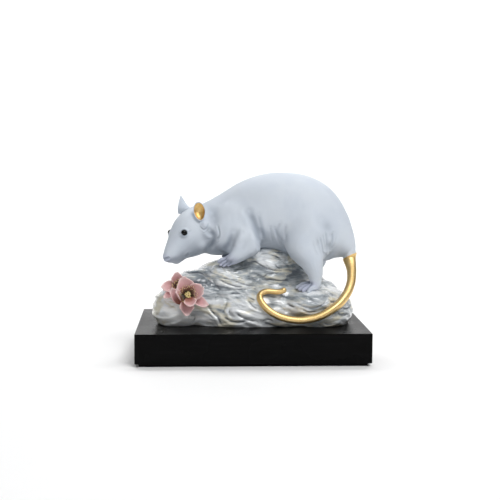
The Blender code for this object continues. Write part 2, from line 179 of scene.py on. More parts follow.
# Rings from the bottom of the ear's bowl over its rim to its root: share of the rim's size, depth, drop
EAR_RINGS = [
    (0, -3.3, 0.6), (0.3, -3.1, 0.5), (0.6, -2.4, 0.3), (0.85, -1.1, 0.1), (0.96, -0.25, 0),
    (1.03, 0.15, 0), (1.08, -0.25, 0), (1.04, -1.2, 0.3), (0.9, -3, 1.4), (0.72, -5.5, 3.2),
    (0.58, -8.5, 5.2), (0.5, -12, 7), (0, -12.5, 7)]
EAR_RIM_RING = 5

# The small flap of skin below the near ear: where it is, how far it reaches and how far it stands out
EAR_FLAP_REACH = 3.2
EAR_FLAP_RISE = 1.5
EAR_FLAP = (-50.4, -25.5, 105.8)

# Folds of the skin over the left side: the points of their lines, their width and their depth. Their hollows
# also take painted shade, and the wide, deep ones along the chest and the arm are there mostly for that
# shade.
FOLDS = [
    ([(-4.3, -31, 120), (0.8, -32, 111), (4.7, -31, 101), (7.6, -32, 92.5), (9.1, -33, 86.5)], 3.5, 2.2),
    ([(8.5, -32, 93), (9.6, -33, 82)], 4.5, 1.4),
    ([(5.9, -33, 117.5), (9, -31, 105), (11.4, -28, 95), (12.5, -26, 88)], 2.2, 0.7),
    ([(28.5, -35, 109), (26, -31, 97.7), (30.1, -27, 90), (33, -19, 80.6)], 1.6, 0.5),
    ([(23.6, -33, 103), (26.2, -29, 93), (30, -22, 84)], 1.1, 0.5),
    ([(18.5, -33, 104), (20, -30, 95), (22.5, -24, 86)], 1.1, 0.35),
    ([(34.5, -36, 106), (34.5, -32, 97), (37.5, -31, 88), (42, -31, 79)], 1.3, 0.5),
    ([(62.3, -43, 89), (65.5, -42, 80), (69.5, -38, 74)], 1.2, 0.28),
    ([(70, -39, 92.4), (73, -35, 82), (74, -33, 76)], 0.9, 0.45),
    ([(65.8, -42, 92.5), (69, -39, 84.5), (71.8, -37, 77.5)], 1.2, 0.28),
    ([(76.8, -37, 99.5), (77.9, -34, 88), (77.9, -33, 79.5)], 1.2, 0.9),
    ([(73, -38, 97), (74.8, -36, 88), (76, -34, 80)], 0.8, 0.45),
    ([(84.7, -31, 97.7), (84.5, -30, 85.8), (81.9, -28, 76)], 1.3, 1.2),
    ([(82, -30, 92), (80.5, -27, 76)], 4.5, 2.6),
    ([(88.5, -28, 94), (87.8, -27, 86), (84.5, -25, 79)], 1, 0.5),
    ([(71, -38, 112), (78, -35, 105), (83.5, -33, 97.8)], 5, 0.9),
    ([(-35.8, -30.6, 104.8), (-34.3, -30.9, 98.6), (-34.6, -30.4, 93.8), (-36.6, -28, 90.4)], 0.85, 0.9),
    ([(-45.1, -27, 99.5), (-40.2, -27, 94), (-40.2, -24, 88), (-45.6, -15, 78)], 2.6, 1.5),
    ([(-55, -26, 105), (-53, -27.2, 101.9), (-50.2, -27.6, 100.2)], 0.7, 0.6),
    ([(-50.2, -27.6, 100.2), (-47.7, -27.8, 102.5), (-46.2, -27.1, 106.7)], 0.7, 0.7),
    ([(-43.5, -21, 117.5), (-39.5, -22, 111)], 4.2, 1.3),
    ([(-10, -37.7, 99), (-14.6, -38, 90.5), (-19.5, -37, 80.5), (-23.6, -35, 74)], 3, -1.6),
    ([(-20, -35, 98), (-24, -32, 87), (-29, -29, 77)], 3.6, 1.9),
    ([(-44, -24, 79), (-36, -28, 77.6), (-28, -31, 78), (-20, -33, 82)], 3.6, 1.2)]

ROCK_PADS = [
    ((5, 0, 13), (92, 47, 35)), ((17, 3, 50), (36, 28, 33.5)), ((-25, -5, 37), (38, 34, 30.8)),
    ((-53, -6, 29), (37, 36, 28.5)), ((-79, -14, 14.5), (26, 29, 24.5)), ((74, -10, 13), (36, 40, 25)),
    ((61, -33, 24), (27, 20, 14)), ((62, 24, 32), (24.5, 22, 23)), ((44, 6, 38), (27, 24, 31)),
    ((82, 12, 28), (15, 20, 14.5)), ((-30, -21, 50), (21, 15, 13))]
LEDGE_RISE = 8.2
LEDGE_DEPTH = 1.1

# How much each axis counts in the distance from a fold, a crease of the head or a groove of the rock
FOLD_SCALE = (1, 0.35, 1)
CREASE_SCALE = (1, 1, 0.6)
GROOVE_SCALE = (1, 0.6, 1)

# Seeded patterns, each as the size of its cells and its seed: what bends the rock's bedding, its slabs, the
# long strokes of the tool, the sharp edges between them, its bands of colour and their broad changes, and the
# slight unevenness of the skin
BENDS = [(19.0, 31), (19.0, 32), (26.0, 21), (11.0, 22)]
SLABS = ((30, 24, 9), 51)
STROKES = [((22, 20, 4.6), 53), ((10, 9, 2.6), 54)]
SHARP_EDGES = ((26, 22, 7), 55)
BANDS = [((30, 24, 3.4), 61), ((14, 12, 1.9), 62)]
BROAD_TONE = ((17, 15, 9), 41)
SKIN_UNEVENNESS = [((3.2, 5.0, 7.5), 11), (14.0, 12)]

# Grooves of the rock's face, as the points of their lines, and how wide and deep they are
GROOVE_WIDTH = 1.3
GROOVE_DEPTH = 1.15
GROOVES = [
    [(-46.7, -39.8, 23), (-44.1, -38.8, 18.8), (-39.5, -41.7, 13.4), (-35.7, -42.1, 10.2),
     (-32.3, -40.8, 1.5)],
    [(-71.5, -18.7, 50.8), (-57.8, -17.4, 54.5), (-52.6, -22, 53.6), (-45.3, -29.8, 47.9),
     (-46.2, -32.8, 43.1)],
    [(-66.6, -29.5, 47.5), (-60.8, -31.5, 46.1), (-51.4, -29.7, 46.9), (-45.1, -31.5, 45.1)],
    [(-41.4, -28.1, 53.6), (-40.8, -31.7, 48.1), (-37.5, -35.2, 42.6), (-32.3, -35.8, 38.2),
     (-21.9, -38.2, 38.5), (-8.8, -36.7, 38.9), (5.2, -31.7, 39.1)],
    [(-36.2, -32.2, 51.5), (-33, -34.1, 48.4), (-26.5, -37.7, 45.6), (-16.7, -37.8, 42.3),
     (-8.8, -36.6, 41.5)],
    [(-31.7, -34.3, 51.1), (-25.2, -35.3, 49.9), (-18.7, -36.2, 48), (-4.9, -33.8, 43.1),
     (10.7, -28.4, 41)],
    [(-46.1, -22, 57.6), (-41.9, -26.6, 55.5), (-36.2, -30, 53.3)],
    [(-49.3, -34.4, 41.9), (-41.5, -35.1, 38.1), (-32.3, -36.4, 36.9)],
    [(-28.5, -37, 31.1), (-26.6, -41.1, 26.4), (-29.2, -42.7, 18.8), (-31.8, -43.4, 14.3)],
    [(-23.4, -43, 20.1), (-24, -44.6, 14.5), (-20.8, -44.8, 11.2)],
    [(-5.2, -42.4, 29.2), (0, -44, 22.8), (5.7, -45.1, 19.1)],
    [(-29.8, -43.2, 11.6), (-22, -43.4, 6.4), (-12.3, -44.5, 5.9), (-5.3, -46.2, 8.2)],
    [(-16.9, -45.6, 15.2), (-9.1, -45.3, 9.9), (4, -45.3, 6)],
    [(-64.9, -36.7, 12.1), (-59.7, -33.4, 9.4), (-61.9, -31.6, 3.8)],
    [(7.7, -15.1, 72.1), (13.8, -14.4, 74.2), (25.8, -16.6, 71.5), (34.9, -18.3, 66.3),
     (40.5, -15.6, 60.7)],
    [(-4.5, -14.4, 65.1), (3, -17.7, 66.3), (13.4, -22, 60.7), (22.5, -22.9, 57.7), (34.7, -21.6, 56.8)],
    [(24.1, -20.8, 64.3), (30, -22.6, 59.1), (42.7, -16.3, 56.9), (52.9, -10.6, 57.7)],
    [(-1.8, -24.6, 53.3), (2.7, -24.9, 49.5), (11.8, -24.2, 50.3), (17.8, -24.4, 54), (30.1, -22.3, 54.5)],
    [(8.8, -24.8, 47.3), (19.3, -24.8, 48), (30.1, -23, 46.3), (41.2, -17.8, 46.3)],
    [(19.3, -26.6, 41.4), (26, -27.7, 40.1), (34.6, -24.7, 41.2)],
    [(-23.3, -38.6, 35.6), (-9.8, -38, 33.3), (-2.5, -40.5, 30.6), (3.2, -42.2, 27.9)],
    [(32.6, -40.4, 27.6), (39.6, -45.5, 23.1), (44.6, -48, 21.2)],
    [(44.9, -48, 26.3), (51.8, -52, 23.8), (60.1, -52, 21.1), (68.5, -51.6, 23.1), (76.3, -46.6, 27.6)],
    [(50, -50.1, 20.3), (58.2, -51.1, 17.3), (66.6, -49.8, 18.1)],
    [(80.9, -31.9, 33), (80.8, -44.1, 28), (87.3, -40.5, 25.1)],
    [(81.1, 13.3, 38.9), (80.9, -13.1, 38), (88.2, -11.3, 36.1)],
    [(93.7, -38.5, 21.1), (98.6, -36, 18.3), (104.9, -27.3, 19.3)],
    [(88.5, -44, 16), (93.3, -42, 11.8), (100.3, -35.4, 12.1)],
    [(9.3, -45.2, 5), (12.2, -46.1, 8.2), (18.2, -45.3, 8.8), (22.8, -44.3, 5.7)],
    [(73.2, -47.5, 6.1), (78, -45.2, 3.3), (84.9, -44.5, 3.9)],
    [(-21, -30.4, 57.6), (-12.4, -24.3, 60), (-4.7, -16.3, 62.2)],
    [(-17, -34.6, 51.8), (-8.6, -34.1, 49.6), (-2.2, -31.9, 47.2)]]

# Where the glaze runs darker (below nought) or paler on the rock's face: x, z, radius, amount. The dark ones
# under the fore arm, by the hind leg and in the tail's curl are painted shadow.
GLAZE_AND_SHADOW_PATCHES = [
    (15, 72, 8, 0.3), (30, 62, 8, -0.2), (50, 52, 11, -0.4), (26, 44, 9, 0.25), (20, 35, 6, -0.2),
    (-24, 48, 11, 0.2), (-43, 38, 9, -0.35), (-20, 38, 9, -0.3), (-6, 33, 10, -0.15), (-32, 18, 6, -0.3),
    (-62, 13, 15, 0.55), (60, 32, 9, 0.2), (48, 18, 8, 0.45), (9, 8, 8, 0.1), (76, 30, 12, -0.15),
    (64, 20, 9, -0.2), (-12, 12, 12, 0.1), (5, 53, 9, -0.3), (-60, 50, 11, -0.3), (92, 12, 12, -0.2),
    (-12, 69, 5, -0.3), (0, 72, 4, -0.25), (18, 28, 6, -0.4), (-86, 12, 12, 0.3)]

# Blossoms: where they sit on the rock, their heart's radius, then each petal's root, tip, facing and width
BLOSSOMS = [
    ((-67, -43, 34.6), 6.5, [
        ((-67, -43, 35), (-71.8, -49, 53.6), (0.2, -0.9, -0.4), 18),
        ((-67, -43, 35), (-50.8, -52, 42.4), (-0.5, -0.85, 0), 18),
        ((-66, -43.5, 33.5), (-45.8, -50, 24.9), (-0.25, -0.6, 0.75), 12.5),
        ((-68, -44, 31), (-68, -53, 14.2), (0, -0.75, 0.66), 14.5),
        ((-74, -44, 25.6), (-83.4, -50.5, 42.2), (0.3, -0.9, 0.2), 12),
        ((-73, -46, 28), (-77.4, -53.5, 43.4), (1, -0.25, 0.2), 9),
        ((-66.5, -47, 32), (-62.4, -58.5, 26), (-0.1, -0.45, 0.9), 13.5)]),
    ((-77, -36, 43.3), 4.5, [
        ((-77, -36, 43), (-78.2, -41, 57.4), (-0.1, -0.95, -0.3), 13),
        ((-77, -36, 43), (-94.6, -42.5, 42.8), (0.1, -0.85, 0.5), 13.5),
        ((-79, -37, 40), (-91.8, -45, 31.5), (0.1, -0.9, 0.4), 8.5)])]

# The way that both blossoms look, the knobs of the larger one's heart, and the radius of their threads
BLOSSOM_FACING = (0.02, -0.97, 0.12)
KNOBS = 22
THREAD_RADIUS = 0.2

# The camera that took the photograph, solved on the plinth's corners
CAMERA_PLACE = (-0.05185, -1.02807, 0.21416)
CAMERA_TURN = 2.845
CAMERA_DIP = 5.754
CAMERA_ROLL = 0.317
CAMERA_LENS = 69.06
SENSOR_WIDTH = 36

# Soft boxes: name, place, the point they face, width and height in metres, and power in watts
LIGHTS = [
    ("key_box", (0.5, -1.0, 1.4), (0, 0, 0.1), (0.9, 0.7), 17.8),
    ("top_box", (-0.1, 0.0, 1.3), (0, 0, 0.08), (1.2, 0.9), 0.6),
    ("right_box", (1.3, -0.3, 1.1), (0, 0, 0.1), (0.7, 0.9), 3.6),
    ("left_box", (-1.3, -0.7, 0.4), (0, 0, 0.07), (1.5, 1.0), 1.6),
    ("front_box", (-0.4, -1.6, 0.3), (0, 0, 0.05), (1.2, 0.4), 2.2),
    ("sweep_box", (0, 1.0, 2.3), (0, 2.1, 0.6), (3.0, 0.8), 66)]
WORLD_COLOUR = (0.93, 0.96, 1.0, 1)
WORLD_STRENGTH = 0.03


def colour_property(name, words, colour):
    """A colour that a user can change."""
    return FloatVectorProperty(name=name, description=words, subtype="COLOR", size=3, min=0, max=1,
                               default=colour)


def size_property(name, words, default, least=0.0):
    """A size that a user can change."""
    return FloatProperty(name=name, description=words, default=default, min=least)


def count_property(name, words, default):
    """A number of passes, triangles or threads that a user can change."""
    return IntProperty(name=name, description=words, default=default, min=0)


class RatSizes(bpy.types.PropertyGroup):
    """How finely and how deeply the figure is worked, in drawing units, close to millimetres."""
    body_voxel: size_property("Body cell", "Cell of the first skin over the body", 1.6, 0.8)
    body_smoothing: count_property("Body softening", "Passes that soften the limbs' joins", 14)
    melting: count_property("Haunch softening", "Passes that blend haunch and shoulder", 60)
    skin_voxel: size_property("Skin cell", "Cell of the finished skin", 0.6, 0.5)
    skin_triangles: count_property("Skin triangles", "Triangles of the rat's skin", 190000)
    fold_depth: size_property("Fold depth", "How deep the skin's folds are cut", 1.0)
    tail_rings: size_property("Tail ring depth", "Depth of the rings round the tail", 0.04)
    rock_voxel: size_property("Rock cell", "Cell of the rock's skin", 0.75, 0.6)
    rock_smoothing: count_property("Rock softening", "Passes that blend the rock's lumps", 70)
    rock_triangles: count_property("Rock triangles", "Triangles of the rock", 190000)
    slab_depth: size_property("Slab depth", "How far the rock's slabs stand out", 1.0)
    petal_wall: size_property("Petal wall", "Thickness of a petal", 0.9)
    stamens: count_property("Stamens", "Threads round the larger blossom's heart", 60)


class RatColours(bpy.types.PropertyGroup):
    """The colours of the bodies, glazes and gilding."""
    bisque: colour_property("Bisque", "Unglazed porcelain of the rat", (0.585, 0.640, 0.715))
    # Painted shade: laid in the skin's folds, between the toes, round the eyes and on the undersides
    painted_shade: colour_property("Bisque in hollows", "Tint that settles in the folds", (0.20, 0.24, 0.30))
    blush: colour_property("Blush", "Lilac tint of the paws and nose", (0.47, 0.49, 0.63))
    gilt: colour_property("Gilt", "Satin gold of the tail and ears", (0.95, 0.71, 0.33))
    petal: colour_property("Petal", "Pink of the petals", (0.72, 0.41, 0.42))
    # The pale rim and the deep rose at the root are partly the petals' own colour, partly painted highlight
    # and painted shade
    petal_edge_and_highlight: colour_property("Petal edge", "Pale pink of the petals' rims", (0.93, 0.72, 0.70))
    petal_deep_rose_and_shade: colour_property("Petal root", "Deep rose at the petals' roots", (0.30, 0.095, 0.06))
    anther: colour_property("Anther", "Cream yellow of the stamens", (0.72, 0.58, 0.24))
    anther_dark: colour_property("Filament", "Olive brown of the threads", (0.06, 0.045, 0.02))
    glaze_pale: colour_property("Pale glaze", "Rock where the glaze is thin", (0.80, 0.83, 0.85))
    # The palest glaze also serves as painted light on the rock's foot and lower left
    glaze_white: colour_property("White glaze", "The palest places of the rock", (0.93, 0.94, 0.93))
    glaze_grey: colour_property("Grey glaze", "Middle tone of the rock", (0.33, 0.37, 0.40))
    glaze_cream: colour_property("Cream glaze", "Warm patches of the rock", (0.74, 0.71, 0.59))
    glaze_slate: colour_property("Slate glaze", "Where the glaze pools in grooves", (0.085, 0.10, 0.12))
    lacquer: colour_property("Lacquer", "Black lacquer of the plinth", (0.0022, 0.0022, 0.0023))


# Numbers and surfaces

def smooth_path(rows, steps):
    """Catmull-Rom through the rows: each span is a cubic whose slopes are half the way between neighbours."""
    rows = np.asarray(rows, float)
    ends = np.vstack([2 * rows[0] - rows[1], rows, 2 * rows[-1] - rows[-2]])
    before, start, end, after = (part[:, None] for part in (ends[:-3], ends[1:-2], ends[2:-1], ends[3:]))
    t = (np.arange(steps) / steps)[None, :, None]
    path = 0.5 * (2 * start + (end - before) * t + (2 * before - 5 * start + 4 * end - after) * t ** 2
                  + (3 * start - before - 3 * end + after) * t ** 3)
    return np.vstack([path.reshape(-1, rows.shape[1]), rows[-1]])


def smoothstep(low, high, value):
    """0 below low, 1 above high, and 3t^2 - 2t^3 between them."""
    t = np.clip((value - low) / (high - low), 0, 1)
    return t * t * (3 - 2 * t)


def unit(vectors):
    """Vectors in the same directions, each one long."""
    return vectors / np.linalg.norm(vectors, axis=-1, keepdims=True)


def bell(distance, width):
    """The bell curve: 1 at no distance, and e to the power of minus one at the width."""
    return np.exp(-(distance / width) ** 2)


def cloud(points, size, seed):
    """Noise from -1 to 1: seeded numbers on a lattice of cells of this size, blended by a smooth step."""
    lattice = np.random.default_rng(seed).random((LATTICE, LATTICE, LATTICE)) * 2 - 1
    place = points / np.asarray(size, float)
    cell = np.floor(place).astype(int)
    part = place - cell
    part = part * part * (3 - 2 * part)
    total = np.zeros(len(points))
    for corner in product((0, 1), repeat=3):
        weight = np.prod(np.where(corner, part, 1 - part), axis=1)
        x, y, z = ((cell + corner) % LATTICE).T
        total += weight * lattice[x, y, z]
    return total


def layered(points, coarse, fine):
    """One cloud, and half as much of a finer one."""
    return cloud(points, *coarse) + 0.5 * cloud(points, *fine)


def grid_faces(rows, columns, closed):
    """The quads of a grid of points, closed round its columns or not."""
    i, j = np.meshgrid(np.arange(rows - 1), np.arange(columns if closed else columns - 1), indexing="ij")
    k = (j + 1) % columns
    below, above = i * columns, (i + 1) * columns
    return np.stack([below + j, below + k, above + k, above + j], -1).reshape(-1, 4)


def balls(places, rings):
    """Balls at rows of x, y, z, radius: the centre plus the radius times a direction on the sphere."""
    sides = 2 * rings
    lat, lon = np.meshgrid(np.linspace(0, pi, rings + 1), 2 * pi * np.arange(sides) / sides, indexing="ij")
    ball = np.stack([np.sin(lat) * np.cos(lon), np.sin(lat) * np.sin(lon), np.cos(lat)], -1).reshape(-1, 3)
    points = places[:, None, :3] + places[:, None, 3:] * ball
    faces = grid_faces(rings + 1, sides, True)[:, ::-1]
    shift = np.arange(len(places))[:, None, None] * len(ball)
    return points.reshape(-1, 3), (faces[None] + shift).reshape(-1, 4)


def roll(rows, steps=14):
    """A ball carried along the path through the rows, with its radius changing on the way."""
    path = smooth_path(rows, steps)
    return balls(path, int(8 + 0.3 * path[:, 3].max()))


def pad(centre, radii, tilt=0.0):
    """An ellipsoid: a unit ball times three radii, turned about Y by tilt."""
    points, faces = balls(np.array([[0, 0, 0, 1.0]]), PAD_RINGS)
    turn = np.array(Matrix.Rotation(radians(tilt), 3, "Y"))
    return points * radii @ turn.T + centre, faces


def joined(shapes):
    """One shape of several: their points one after another, and their faces counted on."""
    shift = np.cumsum([0] + [len(points) for points, faces in shapes[:-1]])
    points = np.vstack([points for points, faces in shapes])
    return points, np.vstack([faces + start for (_, faces), start in zip(shapes, shift)])


def from_head(shape):
    """A shape given in the head's own axes, put where the head is."""
    points, faces = shape
    return points @ HEAD_AXES + HEAD_PLACE, faces


def mesh_of(name, points, faces):
    """A mesh from arrays of points and of quads or triangles."""
    mesh = bpy.data.meshes.new(name)
    sides = faces.shape[1]
    mesh.vertices.add(len(points))
    mesh.vertices.foreach_set("co", np.asarray(points, np.float32).ravel())
    mesh.loops.add(faces.size)
    mesh.loops.foreach_set("vertex_index", faces.astype(np.int32).ravel())
    mesh.polygons.add(len(faces))
    mesh.polygons.foreach_set("loop_start", np.arange(0, faces.size, sides, dtype=np.int32))
    mesh.update(calc_edges=True)
    mesh.validate()
    return mesh


def arrays_of(mesh):
    """The points and the quads of a mesh."""
    points = np.empty(len(mesh.vertices) * 3, np.float32)
    mesh.vertices.foreach_get("co", points)
    faces = np.empty(len(mesh.loops), np.int32)
    mesh.loops.foreach_get("vertex_index", faces)
    return points.reshape(-1, 3).astype(float), faces.reshape(len(mesh.polygons), -1)


def normals_of(points, faces):
    """The direction out of the surface at each point: the sum of its faces' cross products, made one long."""
    corners = points[faces]
    cross = np.cross(corners[:, 2] - corners[:, 0], corners[:, -1] - corners[:, 1])
    total = np.stack([np.bincount(faces.ravel(), np.repeat(cross[:, k], faces.shape[1]), len(points))
                      for k in range(3)], 1)
    return total / np.maximum(np.linalg.norm(total, axis=1), 1e-12)[:, None]


def worked(points, faces, *modifiers):
    """A surface after modifiers, which are given as their kind and their settings."""
    item = bpy.data.objects.new("worked", mesh_of("worked", points, faces))
    bpy.context.scene.collection.objects.link(item)
    for kind, settings in modifiers:
        modifier = item.modifiers.new(kind, kind)
        for key, value in settings.items():
            setattr(modifier, key, value)
    bpy.context.view_layer.update()
    made = bpy.data.meshes.new_from_object(item.evaluated_get(bpy.context.evaluated_depsgraph_get()))
    bpy.data.objects.remove(item)
    result = arrays_of(made)
    bpy.data.meshes.remove(made)
    return result


def skin(shapes, voxel, passes):
    """One closed skin of quads around overlapping shapes, with the joins between them softened."""
    return worked(*joined(shapes), ("REMESH", {"mode": "VOXEL", "voxel_size": voxel}),
                  ("SMOOTH", {"factor": 0.5, "iterations": passes}))


def thinned(points, faces, triangles):
    """The surface with as many triangles as given, fewest where it is smoothest."""
    ratio = min(1.0, triangles / (len(faces) * (faces.shape[1] - 2)))
    return worked(points, faces, ("DECIMATE", {"ratio": ratio, "use_collapse_triangulate": True}))


def piece(name, points, faces, material, masks=None, uv=None):
    """A finished piece in metres, with its masks as attributes, riding on the figure's body."""
    place = points * UNIT + np.array((0, 0, SEAT_HEIGHT))
    mesh = mesh_of(name, place, faces)
    for label, values in (masks or {}).items():
        mesh.attributes.new(label, "FLOAT", "POINT").data.foreach_set("value", values.astype(np.float32))
    if uv is not None:
        layer = mesh.uv_layers.new(name="along")
        corner = np.empty(len(mesh.loops), np.int32)
        mesh.loops.foreach_get("vertex_index", corner)
        layer.data.foreach_set("uv", uv[corner].astype(np.float32).ravel())
    mesh.materials.append(material)
    mesh.shade_smooth()
    item = bpy.data.objects.new(name, mesh)
    bpy.context.scene.collection.objects.link(item)
    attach(item, "root")
    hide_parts("porcelain_group")
    return item


def nearest_on_path(points, path):
    """How far points are from a chain of straight spans, and the height of the nearest place on it. Each
    point is measured to its nearest spot on every span."""
    path = np.asarray(path, float)
    start, span = path[:-1], np.diff(path, axis=0)
    away = points[:, None] - start
    share = np.clip((away * span).sum(-1) / (span ** 2).sum(-1), 0, 1)
    distance = np.linalg.norm(away - share[..., None] * span, axis=-1)
    nearest = distance.argmin(1)
    row = np.arange(len(points))
    level = start[nearest, -1] + share[row, nearest] * span[nearest, -1]
    return distance[row, nearest], level


def close_to(points, path, reach):
    """Which points lie in the box around a path that is this much larger than it."""
    path = np.asarray(path, float)
    return np.all((points > path.min(0) - reach) & (points < path.max(0) + reach), axis=1)


def grooves(points, lines, scale, steps=5):
    """For rows of a line, a width and a depth: how far the surface moves at each point, and how deep in a
    groove it is. A groove falls off as a bell curve with the distance from its line, measured in scaled axes,
    and thins out at the line's ends; its lower lip stands out a little, as a bell curve two widths away. A
    depth below nought makes a ridge."""
    move = np.zeros(len(points))
    hollow = np.zeros(len(points))
    points = points * scale
    for line, width, deep in lines:
        path = smooth_path(line, steps) * scale
        near = close_to(points, path, 4.5 * width)
        spot = points[near]
        if not len(spot):
            continue
        away, level = nearest_on_path(spot, path)
        ends = np.minimum(*(np.linalg.norm(spot - end, axis=1) for end in (path[0], path[-1])))
        fade = smoothstep(-0.9 * width, 2.6 * width, ends)
        cut = bell(away, width) * fade
        below = 0.35 + 0.65 * smoothstep(-0.5 * width, 1.2 * width, level - spot[:, 2])
        lip = bell(away - 2.0 * width, width) * fade * below
        move[near] += deep * (0.34 * lip - cut)
        hollow[near] = np.maximum(hollow[near], cut * min(1.0, 0.75 * deep))
    return move, hollow


def softened(points, faces, share, passes):
    """The points drawn towards the mean of their neighbours along the edges, by a share at each pass."""
    ends = np.hstack([faces.T.ravel(), np.roll(faces, -1, axis=1).T.ravel()])
    others = np.hstack([np.roll(faces, -1, axis=1).T.ravel(), faces.T.ravel()])
    count = np.bincount(ends, minlength=len(points))[:, None]
    for _ in range(passes):
        total = np.stack([np.bincount(ends, points[others, k], len(points)) for k in range(3)], 1)
        points = points + share[:, None] * (total / count - points)
    return points


# Nodes

def add(tree, kind, inputs=None, **settings):
    """A node with its settings, its inputs set to values or linked from sockets."""
    made = tree.nodes.new(kind)
    for key, value in settings.items():
        setattr(made, key, value)
    for key, value in (inputs or {}).items():
        if isinstance(value, bpy.types.NodeSocket):
            tree.links.new(value, made.inputs[key])
        else:
            made.inputs[key].default_value = value
    return made


def scaled(tree, value, factor):
    """A value times a factor."""
    return add(tree, "ShaderNodeMath", {0: value, 1: factor}, operation="MULTIPLY").outputs[0]


def plus(tree, first, second):
    """The sum of two values."""
    return add(tree, "ShaderNodeMath", {0: first, 1: second}, operation="ADD").outputs[0]


def mixed(tree, share, first, second, blend="MIX"):
    """A colour mixed from two, which are sockets or colours."""
    made = add(tree, "ShaderNodeMix", {0: share}, data_type="RGBA", blend_type=blend)
    for index, value in ((6, first), (7, second)):
        if isinstance(value, bpy.types.NodeSocket):
            tree.links.new(value, made.inputs[index])
        else:
            made.inputs[index].default_value = (*value, 1)
    return made.outputs[2]


def tinted(tree, colour, factors):
    """A colour times three factors."""
    return mixed(tree, 1.0, colour, factors, "MULTIPLY")


def ranged(tree, value, low, high, to_low=0.0, to_high=1.0):
    """A value taken from one range to another along a smooth step."""
    ends = {"From Min": low, "From Max": high, "To Min": to_low, "To Max": to_high}
    made = add(tree, "ShaderNodeMapRange", {"Value": value, **ends}, interpolation_type="SMOOTHSTEP")
    return made.outputs["Result"]


def mask(tree, name):
    """A piece's own attribute."""
    return add(tree, "ShaderNodeAttribute", attribute_name=name).outputs["Fac"]


def stretched(tree, scale):
    """Object coordinates times a scale for each axis."""
    place = add(tree, "ShaderNodeTexCoord").outputs["Object"]
    return add(tree, "ShaderNodeMapping", {"Vector": place, "Scale": scale}).outputs["Vector"]


def noise(tree, place, scale, detail=4.0, roughness=0.5, warp=0.0):
    """Noise from 0 to 1."""
    return add(tree, "ShaderNodeTexNoise", {"Vector": place, "Scale": scale, "Detail": detail,
                                            "Roughness": roughness, "Distortion": warp}).outputs["Fac"]


def new_material(name, roughness, metallic=0.0, coat=0.0, coat_roughness=0.05, specular=0.5):
    """A material with its Principled shader's plain values set."""
    made = bpy.data.materials.new(name)
    made.use_nodes = True
    tree = made.node_tree
    shader = tree.nodes["Principled BSDF"]
    values = {"Roughness": roughness, "Metallic": metallic, "Coat Weight": coat,
              "Coat Roughness": coat_roughness, "Specular IOR Level": specular}
    for key, value in values.items():
        shader.inputs[key].default_value = value
    return made, tree, shader


def bump(tree, shader, height, depth, strength):
    """Relief of a given depth in metres, finer than the mesh carries."""
    relief = add(tree, "ShaderNodeBump", {"Height": height, "Distance": depth, "Strength": strength})
    tree.links.new(relief.outputs["Normal"], shader.inputs["Normal"])


def fired_body():
    """The group that every fired surface uses: broad mottling and fine grain."""
    name = "fired_body"
    if name in bpy.data.node_groups:
        return bpy.data.node_groups[name]
    tree = bpy.data.node_groups.new(name, "ShaderNodeTree")
    for label, default in (("Mottle size", 0.02), ("Grain size", 0.0006)):
        socket = tree.interface.new_socket(label, in_out="INPUT", socket_type="NodeSocketFloat")
        socket.default_value = default
    for label in ("Mottle", "Grain"):
        tree.interface.new_socket(label, in_out="OUTPUT", socket_type="NodeSocketFloat")
    given = tree.nodes.new("NodeGroupInput")
    place = add(tree, "ShaderNodeTexCoord").outputs["Object"]
    broad, fine = (add(tree, "ShaderNodeMath", {0: 1.0, 1: socket}, operation="DIVIDE").outputs[0]
                   for socket in given.outputs[:2])
    mottle = noise(tree, place, broad)
    grain = noise(tree, place, fine, 2.0)
    result = tree.nodes.new("NodeGroupOutput")
    tree.links.new(ranged(tree, mottle, 0.3, 0.7), result.inputs["Mottle"])
    tree.links.new(grain, result.inputs["Grain"])
    return tree


def body_group(tree, mottle_size, grain_size):
    """The fired body's mottle and grain at the sizes of one material."""
    made = add(tree, "ShaderNodeGroup", node_tree=fired_body())
    made.inputs["Mottle size"].default_value = mottle_size
    made.inputs["Grain size"].default_value = grain_size
    return made.outputs


def bisque_material(colours):
    """Unglazed blue-grey porcelain: darker in the folds, lilac at the paws, with fine strokes of a tool."""
    made, tree, shader = new_material("bisque", 0.52, specular=0.35)
    body = body_group(tree, 0.022, 0.0007)
    light = tinted(tree, colours.bisque, (1.06, 1.05, 1.03))
    colour = mixed(tree, body["Mottle"], colours.bisque, light)
    colour = mixed(tree, mask(tree, "blush"), colour, colours.blush)
    # Painted shade in the folds, between the toes, round the eyes and under the body
    colour = mixed(tree, mask(tree, "hollow"), colour, colours.painted_shade)
    tree.links.new(colour, shader.inputs["Base Color"])
    strokes = noise(tree, stretched(tree, (1.0, 1.0, 0.28)), 900.0, 3.0, 0.6, 0.4)
    bump(tree, shader, plus(tree, strokes, scaled(tree, body["Grain"], 0.4)), 0.00012, 0.6)
    tree.links.new(ranged(tree, body["Grain"], 0.3, 0.7, 0.46, 0.58), shader.inputs["Roughness"])
    return made


def gilt_material(colours):
    """Satin burnished gold, with fine brush streaks along the piece and thin, redder places."""
    made, tree, shader = new_material("gilt", 0.34, metallic=1.0)
    along = add(tree, "ShaderNodeUVMap", uv_map="along").outputs["UV"]
    streaks = add(tree, "ShaderNodeMapping", {"Vector": along, "Scale": (6.0, 60.0, 1.0)}).outputs["Vector"]
    brushed = noise(tree, streaks, 1.0, 4.0, 0.6, 0.3)
    body = body_group(tree, 0.009, 0.0005)
    pale = tinted(tree, colours.gilt, (1.12, 1.18, 1.35))
    deep = tinted(tree, colours.gilt, (0.80, 0.68, 0.50))
    colour = mixed(tree, ranged(tree, brushed, 0.35, 0.65), deep, pale)
    colour = mixed(tree, scaled(tree, body["Mottle"], 0.35), colour, deep)
    tree.links.new(colour, shader.inputs["Base Color"])
    tree.links.new(ranged(tree, brushed, 0.3, 0.7, 0.38, 0.50), shader.inputs["Roughness"])
    bump(tree, shader, plus(tree, brushed, body["Grain"]), 0.00006, 0.5)
    return made


